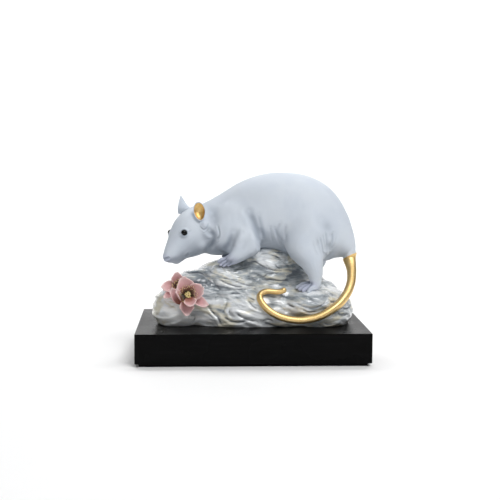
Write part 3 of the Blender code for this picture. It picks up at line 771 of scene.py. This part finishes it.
def ear_material(colours):
    """Bisque with its hollow gilded up to a thin pale rim."""
    made = bisque_material(colours)
    made.name = "gilded_ear"
    tree = made.node_tree
    shader = tree.nodes["Principled BSDF"]
    inside = ranged(tree, mask(tree, "gilding"), 0.45, 0.55)
    bare = shader.inputs["Base Color"].links[0].from_socket
    body = body_group(tree, 0.004, 0.0005)
    deep = tinted(tree, colours.gilt, (0.74, 0.64, 0.47))
    gold = mixed(tree, body["Mottle"], deep, tinted(tree, colours.gilt, (0.9, 0.87, 0.85)))
    tree.links.new(mixed(tree, inside, bare, gold), shader.inputs["Base Color"])
    tree.links.new(inside, shader.inputs["Metallic"])
    rough = shader.inputs["Roughness"].links[0].from_socket
    smoother = add(tree, "ShaderNodeMix", {0: inside, 2: rough, 3: 0.48}).outputs[0]
    tree.links.new(smoother, shader.inputs["Roughness"])
    return made


def eye_material():
    """Black enamel."""
    made, tree, shader = new_material("black_enamel", 0.2, coat=0.1, coat_roughness=0.03, specular=0.15)
    body = body_group(tree, 0.002, 0.0004)
    tree.links.new(mixed(tree, body["Mottle"], (0.0015, 0.0015, 0.002), (0.004, 0.004, 0.004)),
                   shader.inputs["Base Color"])
    return made


def rock_material(colours):
    """Marbled glaze: pale on the slabs and grey between them, with cream patches and fine flowing veins, dark
    where it pools in the grooves, under a clear gloss."""
    made, tree, shader = new_material("marbled_glaze", 0.25, coat=0.75, coat_roughness=0.09)
    body = body_group(tree, 0.02, 0.0012)
    flow = noise(tree, stretched(tree, (0.8, 1.0, 3.2)), 75.0, 4.0, 0.55, 0.45)
    veins = noise(tree, stretched(tree, (0.8, 1.0, 4.2)), 190.0, 3.0, 0.55, 0.5)
    fine = plus(tree, scaled(tree, flow, 0.95), scaled(tree, veins, 0.4))
    tone = plus(tree, mask(tree, "tone"), plus(tree, fine, -0.69))
    patches = noise(tree, stretched(tree, (1.0, 1.0, 1.6)), 42.0, 2.0, 0.5, 0.6)
    pale = mixed(tree, ranged(tree, patches, 0.46, 0.60), colours.glaze_pale, colours.glaze_cream)
    colour = mixed(tree, ranged(tree, tone, 0.15, 0.62), colours.glaze_grey, pale)
    dark = scaled(tree, ranged(tree, tone, 0.28, -0.1), 0.8)
    colour = mixed(tree, dark, colour, colours.glaze_slate)
    colour = mixed(tree, ranged(tree, tone, 0.72, 1.05), colour, colours.glaze_white)
    pool = plus(tree, mask(tree, "pool"), plus(tree, scaled(tree, flow, -1.0), 0.5))
    colour = mixed(tree, ranged(tree, pool, 0.2, 1.05), colour, colours.glaze_slate)
    tree.links.new(colour, shader.inputs["Base Color"])
    tree.links.new(ranged(tree, body["Mottle"], 0.0, 1.0, 0.2, 0.34), shader.inputs["Roughness"])
    bump(tree, shader, plus(tree, flow, scaled(tree, veins, 0.4)), 0.0004, 0.5)
    return made


def petal_material(colours):
    """Matt tinted bisque: deep rose at the root, pink and paler to the rim, with faint veins along it."""
    made, tree, shader = new_material("rose_bisque", 0.5, specular=0.35)
    body = body_group(tree, 0.006, 0.0006)
    along = add(tree, "ShaderNodeUVMap", uv_map="along").outputs["UV"]
    along = add(tree, "ShaderNodeMapping", {"Vector": along, "Scale": (1.4, 24.0, 1.0)}).outputs["Vector"]
    veins = noise(tree, along, 1.0, 3.0, 0.55, 0.4)
    out = plus(tree, mask(tree, "outward"), scaled(tree, plus(tree, veins, -0.5), 0.35))
    # Deep rose at the root, partly painted shade, and pale rims, partly painted highlight
    colour = mixed(tree, ranged(tree, out, 0.16, 0.62), colours.petal_deep_rose_and_shade, colours.petal)
    for share, most, over in ((ranged(tree, out, 0.5, 1.0), 0.5, colours.petal_edge_and_highlight),
                              (mask(tree, "rim"), 0.8, colours.petal_edge_and_highlight),
                              (ranged(tree, veins, 0.5, 0.75), 0.22, colours.petal_deep_rose_and_shade),
                              (body["Mottle"], 0.15, colours.petal_edge_and_highlight)):
        colour = mixed(tree, scaled(tree, share, most), colour, over)
    tree.links.new(colour, shader.inputs["Base Color"])
    bump(tree, shader, plus(tree, veins, scaled(tree, body["Grain"], 0.3)), 0.0002, 0.6)
    return made


def stamen_material(colours):
    """Cream-yellow anthers over dark filaments."""
    made, tree, shader = new_material("stamen_glaze", 0.35, coat=0.3)
    body = body_group(tree, 0.0025, 0.0005)
    pale = tinted(tree, colours.anther, (1.25, 1.3, 1.5))
    colour = mixed(tree, body["Mottle"], colours.anther, pale)
    colour = mixed(tree, ranged(tree, mask(tree, "outward"), 0.75, 0.45), colour, colours.anther_dark)
    tree.links.new(colour, shader.inputs["Base Color"])
    bump(tree, shader, body["Grain"], 0.0001, 0.5)
    return made


def lacquer_material(colours):
    """Satin black lacquer over wood, with a trace of the grain and of dust."""
    made, tree, shader = new_material("black_lacquer", 0.3, specular=0.05)
    grain = noise(tree, stretched(tree, (0.12, 1.0, 1.0)), 320.0, 5.0, 0.6, 0.6)
    body = body_group(tree, 0.05, 0.0009)
    worn = tinted(tree, colours.lacquer, (1.7, 1.7, 1.75))
    colour = mixed(tree, ranged(tree, grain, 0.4, 0.75), colours.lacquer, worn)
    tree.links.new(colour, shader.inputs["Base Color"])
    tree.links.new(ranged(tree, body["Mottle"], 0.0, 1.0, 0.24, 0.31), shader.inputs["Roughness"])
    bump(tree, shader, plus(tree, grain, body["Grain"]), 0.00003, 0.5)
    return made


# The porcelain's forms

def toes(first_root, last_root, tips, root_radius, tip_radius):
    """The toes of one paw side by side: rolls that arch over their middle joint."""
    roots = np.linspace(first_root, last_root, len(tips))
    made = []
    for root, tip in zip(roots, np.array(tips, float)):
        knuckle = root * 0.45 + tip * 0.55 + (0, 0, 0.35 * root_radius)
        rows = [(*root, root_radius), (*knuckle, (root_radius + tip_radius) / 2), (*tip, tip_radius)]
        made.append(roll(rows))
    return made


def head_shapes():
    """The skull, jaw, nose, cheeks, whisker pads and the lids around the eyes."""
    points, faces = roll(SKULL)
    made = [(points * (1, 1, HEAD_NARROWNESS), faces), roll(JAW), pad(*NOSE_PAD)]
    for (along, up, out), radii in (CHEEK_PAD, WHISKER_PAD):
        made += [pad((along, up, out * side), radii) for side in (-1, 1)]
    made += [pad(EYE_PAD[0], EYE_PAD[1]), pad(EYE_PAD[0] * np.array((1, 1, -1)) + FAR_EYE_SHIFT, EYE_PAD[1])]
    return [from_head(shape) for shape in made]


def head_local(points):
    """Points in the head's own axes, with the right side folded onto the left, eye onto eye."""
    local = (points - HEAD_PLACE) @ HEAD_AXES.T
    right = smoothstep(-2.0, -8.0, local[:, 2]) * smoothstep(30.0, 22.0, local[:, 0])
    local = local - right[:, None] * FAR_EYE_SHIFT
    local[:, 2] = np.abs(local[:, 2])
    return local


def toe_gaps(points):
    """How deep between two toes a point lies: near one where its two nearest toes' lines are as far away."""
    gap = np.zeros(len(points))
    for first_root, last_root, tips, root_radius, tip_radius in PAWS:
        reach = 2.6 * root_radius
        near = close_to(points, [first_root, last_root, *tips], reach)
        roots = np.linspace(first_root, last_root, len(tips))
        lines = [nearest_on_path(points[near], [root * 0.7 + np.array(tip) * 0.3, tip])[0]
                 for root, tip in zip(roots, tips)]
        away = np.sort(lines, axis=0)
        between = bell(away[1] - away[0], 0.5 * tip_radius) * smoothstep(reach, 0.5 * reach, away[0])
        gap[near] = np.maximum(gap[near], between)
    return gap


def rat_folds(points):
    """How far the skin moves out, and how hollow it is: folds, toe gaps, lids, nostrils and mouth."""
    move, hollow = grooves(points, FOLDS, FOLD_SCALE)
    hollow *= 0.6
    gap = toe_gaps(points)
    move -= TOE_GAP_DEPTH * gap
    hollow = np.maximum(hollow, 0.8 * gap)
    move += EAR_FLAP_RISE * bell(np.linalg.norm(points - EAR_FLAP, axis=1), EAR_FLAP_REACH)
    local = head_local(points)
    from_lid = np.linalg.norm(local - EYE_CENTRE, axis=1) - EYE_RADIUS
    for distance, width, height in LID_RINGS:
        move += height * bell(from_lid - distance, width)
    creases, dark = grooves(local, HEAD_CREASES, CREASE_SCALE)
    hollow = np.maximum.reduce([hollow, 0.8 * bell(from_lid, 0.6), 0.9 * dark])
    return move + creases, np.clip(hollow, 0, 1)


def rat_shape(sizes):
    """The rat's skin: a softened body, then the paws and the tail's root, grown into one surface. The haunch
    and the shoulder run out into the flank, so they are softened further above the legs."""
    points, faces = roll(TRUNK)
    body = [(points * (1, FLANK_FLATNESS, 1), faces), roll(NECK)]
    body += [pad(*row) for row in BODY_PADS] + head_shapes() + [roll(limb) for limb in LIMBS]
    points, faces = skin(body, sizes.body_voxel, sizes.body_smoothing)
    share = np.zeros(len(points))
    left = np.stack([points[:, 0], -np.abs(points[:, 1]), points[:, 2]], 1)
    for centre, radii in MELTED:
        share = np.maximum(share, smoothstep(1.0, 0.6, np.linalg.norm((left - centre) / radii, axis=1)))
    shapes = [(softened(points, faces, 0.5 * share, sizes.melting), faces)]
    shapes += [roll(limb[2:]) for limb in LIMBS]
    for paw in PAWS:
        shapes += toes(*paw)
    root = smooth_path(TAIL, 6)[:TAIL_ROOT_POINTS]
    root[:, 3] -= 0.45
    root[-1, 3] *= 0.75
    shapes.append(roll(root, 2))
    return skin(shapes, sizes.skin_voxel, 3)


def build_rat_skin(sizes, colours):
    """The rat's skin with its folds cut, and masks for the tints."""
    points, faces = rat_shape(sizes)
    normals = normals_of(points, faces)
    fine, broad = (cloud(points, *pattern) for pattern in SKIN_UNEVENNESS)
    move = sizes.fold_depth * rat_folds(points)[0] + 0.08 * fine + 0.2 * broad
    points = points + normals * move[:, None]
    points, faces = thinned(points, faces, sizes.skin_triangles)
    blush = np.zeros(len(points))
    for first_root, last_root, tips, _, _ in PAWS:
        middle = (np.array(first_root) + last_root) / 2
        away = nearest_on_path(points, [middle, np.mean(tips, axis=0)])[0]
        blush = np.maximum(blush, smoothstep(11.0, 4.0, away))
    from_nose = np.linalg.norm(head_local(points) - NOSE_TIP, axis=1)
    blush = np.maximum(blush, 0.7 * smoothstep(9.0, 3.5, from_nose))
    hollow = rat_folds(points)[1]
    # Painted shade: faces that look down take the tint of the hollows, on the head also faces that look only
    # a little down, and only above the rock's top; the far fore paw under the chest takes it too
    start = 0.3 * smoothstep(-25, -45, points[:, 0]) - 0.15
    under = smoothstep(0.0, 0.75, start - normals_of(points, faces)[:, 2]) * smoothstep(60, 72, points[:, 2])
    hollow = np.maximum(hollow, 0.6 * smoothstep(10, 6, np.linalg.norm(points - FAR_PAW, axis=1)))
    masks = {"blush": blush * 0.75, "hollow": hollow + (1 - hollow) * 0.6 * under}
    piece("rat_skin", points, faces, bisque_material(colours), masks)


def build_ears(colours):
    """Two cupped ears. Rings run from the bottom of the bowl over the rim to the root in the head: each is
    the rim's oval times a share, set back by a depth and down by a drop, and drawn in a little below."""
    rings = smooth_path(EAR_RINGS, EAR_STEPS)
    angle = 2 * pi * np.arange(EAR_SIDES) / EAR_SIDES
    low = np.clip(-np.sin(angle), 0, 1)
    scale, depth, drop = (rings[:, k, None] for k in range(3))
    across = EAR_HALF_WIDTH * scale * np.cos(angle) * (1 - 0.16 * low * scale)
    up = EAR_HALF_HEIGHT * scale * np.sin(angle) - drop
    deep = depth + 0.3 * np.cos(3 * angle + 0.6) * scale ** 3 + 0.8 * low * scale
    local = np.stack([across, up, deep], -1).reshape(-1, 3)
    inside = np.arange(len(rings))[:, None] < EAR_RIM_RING * EAR_STEPS
    gild = (1 - smoothstep(0.93, 0.98, scale + 0 * angle)) * inside
    shapes = []
    for centre, facing, tip in EARS:
        facing = unit(np.array(facing))
        tip = unit(tip - facing * (facing @ tip))
        axes = np.array((np.cross(tip, facing), tip, facing))
        shapes.append((local @ axes + centre, grid_faces(len(rings), EAR_SIDES, True)))
    points, faces = joined(shapes)
    plain = np.zeros(len(points))
    masks = {"gilding": np.tile(gild.ravel(), len(EARS)), "blush": plain, "hollow": plain}
    item = piece("ears", points, faces, ear_material(colours), masks)
    close_poles(item.data)


def close_poles(mesh):
    """Merge the points that lie on top of each other at a pole or a seam, with faces turned outwards."""
    work = bmesh.new()
    work.from_mesh(mesh)
    bmesh.ops.remove_doubles(work, verts=work.verts, dist=1e-6)
    bmesh.ops.recalc_face_normals(work, faces=work.faces)
    work.to_mesh(mesh)
    work.free()


def build_eyes():
    """Two black eyes: balls half sunk between their lids."""
    far = EYE_CENTRE * np.array((1, 1, -1)) + FAR_EYEBALL_SHIFT
    centres = np.array([(*EYE_CENTRE, EYE_RADIUS), (*far, EYE_RADIUS)])
    points, faces = from_head(balls(centres, EYE_RINGS))
    item = piece("eyes", points, faces, eye_material())
    close_poles(item.data)


def frames_along(path):
    """For each point of a path, two directions across it, square to each other and turned as little as can be
    from one point to the next."""
    way = unit(np.gradient(path, axis=0))
    side = np.empty_like(way)
    side[0] = unit(np.cross(way[0], (0, 1, 0)))
    for index in range(1, len(way)):
        side[index] = unit(side[index - 1] - way[index] * (side[index - 1] @ way[index]))
    return side, np.cross(way, side)


def build_tail(sizes, colours):
    """The gilt tail: a ring carried along its path. Its radius is the path's, with shallow rings along it, a
    soft lip at its root, whose edge slants across the rump, and a rounded tip."""
    path = smooth_path(TAIL, TAIL_STEPS)[TAIL_HIDDEN_POINTS:]
    length = np.concatenate([[0], np.cumsum(np.linalg.norm(np.diff(path[:, :3], axis=0), axis=1))])
    angle = 2 * pi * np.arange(TAIL_SIDES) / TAIL_SIDES
    side, up = frames_along(path[:, :3])
    waves = np.sin(length * 2 * pi / TAIL_RING_SPACING) * np.clip(length / 12, 0, 1)
    lip = 0.35 * np.exp(-length / 1.5)
    radius = (path[:, 3] + sizes.tail_rings * waves + lip)[:, None]
    radius = radius + 0.10 * np.sin(3 * angle + length[:, None] / 17)
    left = np.clip((length[-1] - length) / path[-1, 3], 0, 1)
    radius = radius * np.sqrt(1 - (1 - left) ** 2)[:, None]
    ring = side[:, None] * np.cos(angle)[None, :, None] + up[:, None] * np.sin(angle)[None, :, None]
    points = path[:, None, :3] + radius[..., None] * ring
    points[..., 2] += 0.45 * (points[..., 0] - path[:, :1]) * np.exp(-length[:, None] / 5)
    mouth = 0.001 * (points[0] - points[0].mean(0)) + points[0].mean(0)
    points = np.vstack([mouth[None], points])
    length = np.concatenate([[0], length])
    uv = np.stack(np.broadcast_arrays(length[:, None] / 10, angle[None] / (2 * pi)), -1).reshape(-1, 2)
    faces = grid_faces(len(length), TAIL_SIDES, True)
    item = piece("tail", points.reshape(-1, 3), faces, gilt_material(colours), uv=uv)
    close_poles(item.data)


def ledges(points):
    """How far the rock's face steps out at each point: flowing, slanted ledges with a groove under each."""
    x, y, z = points.T
    level = z / LEDGE_RISE + 0.55 * np.sin(x / 19 + 0.8 * np.sin(z / 13)) + 0.3 * np.sin(x / 8.3 + y / 7.1)
    rise = level - np.floor(level)
    lip = np.clip(rise / 0.75, 0, 1) ** 1.4 - np.clip((rise - 0.75) / 0.25, 0, 1)
    broad = np.sin(x / 14.7 + 1.3) * np.sin(z / 11.9 + y / 17) + 0.5 * np.sin(y / 9.7 - x / 21)
    return LEDGE_DEPTH * (0.75 * lip - 0.4 + 0.45 * broad)


def slabs(points, size, seed):
    """Seeded cells of a given size around a point: how far it is from its own cell's border, how far above
    its cell's middle it is, and a number of its cell's own from -1 to 1."""
    lattice = np.random.default_rng(seed).random((LATTICE, LATTICE, LATTICE, 4))
    spot = points / np.asarray(size, float)
    cell = np.floor(spot).astype(int)
    first, second = np.full((2, len(points)), 9.0)
    rise, own = np.zeros((2, len(points)))
    for corner in product((-1, 0, 1), repeat=3):
        x, y, z = ((cell + corner) % LATTICE).T
        away = spot - cell - corner - 0.5 - 0.8 * (lattice[x, y, z, :3] - 0.5)
        distance = np.linalg.norm(away, axis=1)
        nearer = distance < first
        second = np.where(nearer, first, np.minimum(second, distance))
        rise = np.where(nearer, away[:, 2], rise)
        own = np.where(nearer, lattice[x, y, z, 3] * 2 - 1, own)
        first = np.where(nearer, distance, first)
    return second - first, rise, own


def rock_relief(points, sizes):
    """How far the rock's face moves out, how pale it is and how dark the glaze pools: ledges, the grooves of
    its left and front, slanted slabs that stand out most at their lower edge, and long strokes of a tool."""
    x, y, z = points.T
    lines = [(line, GROOVE_WIDTH, GROOVE_DEPTH) for line in GROOVES]
    move, pool = grooves(points, lines, GROOVE_SCALE, 3)
    across, back, high, higher = (cloud(points, *pattern) for pattern in BENDS)
    bent = points + np.stack([3 * across, 3 * back, 7 * high + 2 * higher + 0.24 * x], 1)
    calm = 1 - 0.8 * bell(np.hypot(x + 78, z - 14), 22) * (y < 10)
    border, rise, own = slabs(bent, *SLABS)
    crack = bell(border, 0.14) * calm * smoothstep(-0.2, 0.7, own)
    body = 0.35 * own - 0.8 * rise * smoothstep(0, 0.35, border) - 0.3 * crack
    stroke = layered(bent, *STROKES)
    edge = np.clip(1 - 2.2 * np.abs(cloud(bent, *SHARP_EDGES)), 0, 1)
    move += sizes.slab_depth * calm * (1.8 * body + 0.75 * stroke + 0.5 * edge)
    pool = np.maximum(pool, 0.45 * crack)
    # Paler towards the foot and the lower left and darker to the right: partly the glaze's own tone, partly
    # painted light and painted shade that even out how the lamps fall on the rock
    tone = 0.38 * smoothstep(34, 6, z) + 0.4 * smoothstep(-50, -80, x) * smoothstep(45, 25, z)
    tone += 0.25 * cloud(points, *BROAD_TONE) - 0.14 * smoothstep(-10, 60, x) - 0.14
    tone += 0.22 * own * calm - 0.35 * rise + 0.25 * stroke + 0.5 * layered(bent, *BANDS)
    # Patches of glaze tone, and of painted shadow under the fore arm, by the hind leg and in the tail's curl
    for middle_x, middle_z, radius, amount in GLAZE_AND_SHADOW_PATCHES:
        tone += 1.4 * amount * bell(np.hypot(x - middle_x, z - middle_z), radius)
    return move + ledges(points), tone, pool


def build_rock(sizes, colours):
    """The rock: broad lumps grown together, cut into slabs and grooves, with its underside cut off flat."""
    points, faces = skin([pad(*row) for row in ROCK_PADS], sizes.rock_voxel, sizes.rock_smoothing)
    normals = normals_of(points, faces)
    points = points + normals * rock_relief(points, sizes)[0][:, None]
    points = softened(points, faces, np.full(len(points), 0.5), 3)
    points, faces = thinned(points, faces, sizes.rock_triangles)
    work = bmesh.new()
    work.from_mesh(mesh_of("rock_block", points, faces))
    whole = work.verts[:] + work.edges[:] + work.faces[:]
    cut = bmesh.ops.bisect_plane(work, geom=whole, plane_co=(0, 0, 0), plane_no=(0, 0, 1), clear_inner=True)
    rim = [part for part in cut["geom_cut"] if isinstance(part, bmesh.types.BMEdge)]
    bmesh.ops.holes_fill(work, edges=rim)
    bmesh.ops.triangulate(work, faces=[face for face in work.faces if len(face.verts) > 3])
    block = bpy.data.meshes.new("rock_block")
    work.to_mesh(block)
    work.free()
    points, faces = arrays_of(block)
    _, tone, pool = rock_relief(points, sizes)
    masks = {"tone": 0.5 + 0.5 * np.clip(tone, -1, 1), "pool": pool}
    piece("rock", points, faces, rock_material(colours), masks)


def petal(root, tip, facing, width, seed):
    """One petal as a grid: u runs from its root to its tip and v across. The half width is a sine of u that
    is full past the middle, the tip is rounded by drawing the sides back with v squared, and the face is
    cupped by v squared, dips along its length and rolls back at the tip, with a ripple towards the edge."""
    root, tip, facing = (np.array(value, float) for value in (root, tip, facing))
    along = tip - root
    length = np.linalg.norm(along)
    along /= length
    face = unit(facing - along * (facing @ along))
    across = np.cross(along, face)
    u, v = np.meshgrid(np.linspace(0, 1, PETAL_ROWS), np.linspace(-1, 1, PETAL_COLUMNS), indexing="ij")
    half = width / 2 * np.sin(pi * (0.08 + 0.78 * u)) ** 0.7 * (1 + 0.05 * np.sin(4 * u + seed))
    arch = np.sin(pi * u)
    lift = 0.19 * length * (v ** 2 * arch - 0.9 * arch - 0.28 * u ** 4)
    lift += 0.05 * length * u ** 2 * np.abs(v) * np.sin(5.5 * u + 2.4 * v + seed)
    lift += 0.6 * u * np.sin(3.0 * v + seed)
    lift -= 0.07 * length * smoothstep(0.8, 1.0, u) * smoothstep(0.2, 1.0, np.abs(v))
    reach = length * u * (1 - 0.22 * v ** 2 * u) + 0.02 * length * u ** 3 * np.sin(6 * v + seed)
    points = root + along * reach[..., None] + across * (half * v)[..., None] + face * lift[..., None]
    faces = grid_faces(PETAL_ROWS, PETAL_COLUMNS, False)
    return points.reshape(-1, 3), faces, u.ravel(), (v.ravel() + 1) / 2


def build_blossoms(sizes, colours):
    """The two pink blossoms: thin cupped petals with soft edges around each hub."""
    shapes, outward, across = [], [], []
    for _, _, petals in BLOSSOMS:
        for number, row in enumerate(petals):
            points, faces, u, v = petal(*row, 1.7 * number)
            shapes.append((points, faces))
            outward.append(u)
            across.append(v + number)
    points, faces = joined(shapes)
    u, v = np.concatenate(outward), np.concatenate(across)
    from_middle = np.abs(2 * (v % 1) - 1)
    rim = np.maximum(smoothstep(0.8, 1.0, u), smoothstep(0.75, 1.0, from_middle) * smoothstep(0.1, 0.4, u))
    item = piece("blossoms", points, faces, petal_material(colours), {"outward": u, "rim": rim},
                 np.stack([u, v], 1))
    wall = item.modifiers.new("wall", "SOLIDIFY")
    wall.thickness = sizes.petal_wall * UNIT
    wall.offset = 0
    edge = item.modifiers.new("soft edges", "SUBSURF")
    edge.levels = edge.render_levels = 1


def threads(starts, ways, out, length, radius):
    """Fine curved threads with round ends: each leaves its start along out and bends over towards its way."""
    share = np.linspace(0, 1, THREAD_POINTS)
    rise = length[:, None] * 0.75 * np.sin(0.5 * pi * share)
    spread = length[:, None] * share ** 1.6
    bow = starts[:, None] + out * rise[..., None] + ways[:, None] * spread[..., None]
    tangent = unit(np.gradient(bow, axis=1))
    side = unit(np.cross(tangent, (0.2, 0.3, 0.93)))
    other = np.cross(tangent, side)
    angle = 2 * pi * np.arange(THREAD_SIDES) / THREAD_SIDES
    thick = radius * np.sqrt(np.clip(1 - (2 * share - 1) ** 12, 0, 1))
    ring = side[:, :, None] * np.cos(angle)[:, None] + other[:, :, None] * np.sin(angle)[:, None]
    points = bow[:, :, None] + thick[:, None, None] * ring
    faces = grid_faces(len(share), len(angle), True)
    shift = np.arange(len(starts))[:, None, None] * len(share) * len(angle)
    return points.reshape(-1, 3), (faces[None] + shift).reshape(-1, 4), bow[:, -1]


def build_stamens(sizes, colours):
    """The blossoms' hearts: a low dome with knobs on a sunflower's spiral, and threads that end in beads. The
    mask tells the threads, the dome, the beads and the knobs apart."""
    shapes, masks = [], []

    def grown(shape, outward):
        """Keep a shape and the mask of its points."""
        shapes.append(shape)
        masks.append(np.full(len(shape[0]), outward))

    out = unit(np.array(BLOSSOM_FACING))
    level = unit(np.cross(out, (0, 0, 1)))
    up = np.cross(level, out)
    for (hub, heart, _), reach in zip(BLOSSOMS, (1.0, 0.62)):
        hub = np.array(hub, float)
        grown(pad(hub + out * 1.5 * reach, (0.5 * heart, 0.5 * heart, 0.5 * heart)), 0.3)
        number = np.arange(int(KNOBS * reach))
        turn = number * GOLDEN_ANGLE
        spread = np.sqrt((number + 0.5) / len(number)) * 0.48 * heart
        ways = level * np.cos(turn)[:, None] + up * np.sin(turn)[:, None]
        knobs = hub + ways * spread[:, None] + out * (0.85 * heart - 0.1 * spread ** 2 / heart)[:, None]
        sized = (0.62 + 0.22 * np.sin(5.1 * number))[:, None] * (0.6 + 0.4 * reach)
        grown(balls(np.hstack([knobs, sized]), KNOB_RINGS), 1.0)
        number = np.arange(int(sizes.stamens * reach))
        turn = number * GOLDEN_ANGLE
        ways = level * np.cos(turn)[:, None] + up * np.sin(turn)[:, None]
        length = heart * (0.95 + 0.25 * np.sin(7.3 * number))
        points, faces, tips = threads(hub + ways * 0.3 * heart, ways, out, length, THREAD_RADIUS)
        grown((points, faces), 0.0)
        sized = (0.42 + 0.1 * np.sin(3.7 * number))[:, None]
        grown(balls(np.hstack([tips, sized]), BEAD_RINGS), 0.8)
    points, faces = joined(shapes)
    item = piece("stamens", points, faces, stamen_material(colours), {"outward": np.concatenate(masks)})
    close_poles(item.data)


# The stage

def area_light(name, place, aim, size, power):
    """A soft box that looks at a point."""
    light = bpy.data.lights.new(name, "AREA")
    light.shape = "RECTANGLE"
    light.size, light.size_y = size
    light.energy = power
    item = bpy.data.objects.new(name, light)
    item.location = place
    item.rotation_euler = (Vector(aim) - Vector(place)).to_track_quat("-Z", "Y").to_euler()
    bpy.context.scene.collection.objects.link(item)


def sweep():
    """A pale studio sweep: a level floor that turns up behind in a quarter circle, carried along X."""
    half, depth, bend, height, steps = 3.0, 1.6, 0.8, 3.0, 24
    turn = np.linspace(0, pi / 2, steps)
    y = np.concatenate([[-3.5], depth + bend * np.sin(turn), [depth + bend]])
    z = np.concatenate([[0.0], bend * (1 - np.cos(turn)), [height]])
    points = np.stack([np.repeat([-half, half], len(y)), np.tile(y, 2), np.tile(z, 2)], 1)
    mesh = mesh_of("studio_sweep", points, grid_faces(2, len(y), False)[:, ::-1])
    made, tree, shader = new_material("studio_paper", 0.8, specular=0.1)
    paper = noise(tree, stretched(tree, (1, 1, 1)), 3.0)
    tree.links.new(mixed(tree, paper, (0.93, 0.93, 0.93), (0.95, 0.95, 0.95)), shader.inputs["Base Color"])
    mesh.materials.append(made)
    mesh.shade_smooth()
    item = bpy.data.objects.new("studio_sweep", mesh)
    bpy.context.scene.collection.objects.link(item)


def photo_camera():
    """The camera at the photograph's place, turned by its yaw, dip and roll."""
    turn, dip, lean = (radians(value) for value in (CAMERA_TURN, -CAMERA_DIP, CAMERA_ROLL))
    forward = Vector((sin(turn) * cos(dip), cos(turn) * cos(dip), sin(dip)))
    level = Vector((cos(turn), -sin(turn), 0))
    above = level.cross(forward)
    right = level * cos(lean) + above * sin(lean)
    up = above * cos(lean) - level * sin(lean)
    camera = bpy.data.cameras.new("photo_camera")
    camera.lens = CAMERA_LENS
    camera.sensor_width = SENSOR_WIDTH
    camera.clip_start = 0.01
    item = bpy.data.objects.new("photo_camera", camera)
    axes = Matrix((right, up, -forward)).transposed().to_4x4()
    item.matrix_world = Matrix.Translation(CAMERA_PLACE) @ axes
    bpy.context.scene.collection.objects.link(item)
    bpy.context.scene.camera = item


def set_stage():
    """The camera, the sweep, the lights and the way colours are shown."""
    photo_camera()
    sweep()
    for row in LIGHTS:
        area_light(*row)
    world = bpy.data.worlds.new("studio")
    world.use_nodes = True
    background = world.node_tree.nodes["Background"]
    background.inputs["Color"].default_value = WORLD_COLOUR
    background.inputs["Strength"].default_value = WORLD_STRENGTH
    bpy.context.scene.world = world
    bpy.context.scene.view_settings.view_transform = "Standard"
    bpy.context.scene.view_settings.look = "None"


# The add-on

def operator(class_name, label, words, work):
    """An operator that runs one step of the work with the scene's sizes and colours."""
    def execute(self, context):
        work(context.scene.rat_sizes, context.scene.rat_colours)
        return {"FINISHED"}
    content = {"bl_idname": "rat." + label.lower().replace(" ", "_"), "bl_label": label,
               "bl_options": {"REGISTER", "UNDO"}, "__doc__": words, "execute": execute}
    return type(class_name, (bpy.types.Operator,), content)


def dress_plinth(colours):
    """Give the plinth its lacquer."""
    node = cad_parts["plinth"]
    node.data.materials.clear()
    node.data.materials.append(lacquer_material(colours))


STEPS = (
    operator("RAT_OT_stage", "Set stage", "Set up the camera, lights and sweep", lambda *_: set_stage()),
    operator("RAT_OT_skin", "Rat skin", "Model the rat's skin", build_rat_skin),
    operator("RAT_OT_ears", "Ears", "Model the gilded ears", lambda _, colours: build_ears(colours)),
    operator("RAT_OT_eyes", "Eyes", "Model the black eyes", lambda *_: build_eyes()),
    operator("RAT_OT_tail", "Tail", "Model the gilt tail", build_tail),
    operator("RAT_OT_rock", "Rock", "Model the glazed rock", build_rock),
    operator("RAT_OT_blossoms", "Blossoms", "Model the petals", build_blossoms),
    operator("RAT_OT_stamens", "Stamens", "Model the blossoms' hearts", build_stamens),
    operator("RAT_OT_plinth", "Plinth", "Lacquer the plinth", lambda _, colours: dress_plinth(colours)),
)


class RAT_PT_panel(bpy.types.Panel):
    """The steps and their sizes and colours."""
    bl_label = "Porcelain rat"
    bl_idname = "RAT_PT_panel"
    bl_space_type = "VIEW_3D"
    bl_region_type = "UI"
    bl_category = "Porcelain rat"

    def draw(self, context):
        for made in STEPS:
            self.layout.operator(made.bl_idname)
        for group in (context.scene.rat_sizes, context.scene.rat_colours):
            for name in group.__annotations__:
                self.layout.prop(group, name)


CLASSES = (RatSizes, RatColours, *STEPS, RAT_PT_panel)


def register():
    """Register the classes, and the sizes and colours on the scene."""
    for made in CLASSES:
        bpy.utils.register_class(made)
    bpy.types.Scene.rat_sizes = PointerProperty(type=RatSizes)
    bpy.types.Scene.rat_colours = PointerProperty(type=RatColours)


def unregister():
    """Take the classes and properties away again."""
    del bpy.types.Scene.rat_colours
    del bpy.types.Scene.rat_sizes
    for made in reversed(CLASSES):
        bpy.utils.unregister_class(made)


def main():
    """Run every step in order and write the boxes of the solids and of the dressed figure."""
    register()
    for made in STEPS:
        group, name = made.bl_idname.split(".")
        getattr(getattr(bpy.ops, group), name)()


if __name__ == "__main__":
    main()
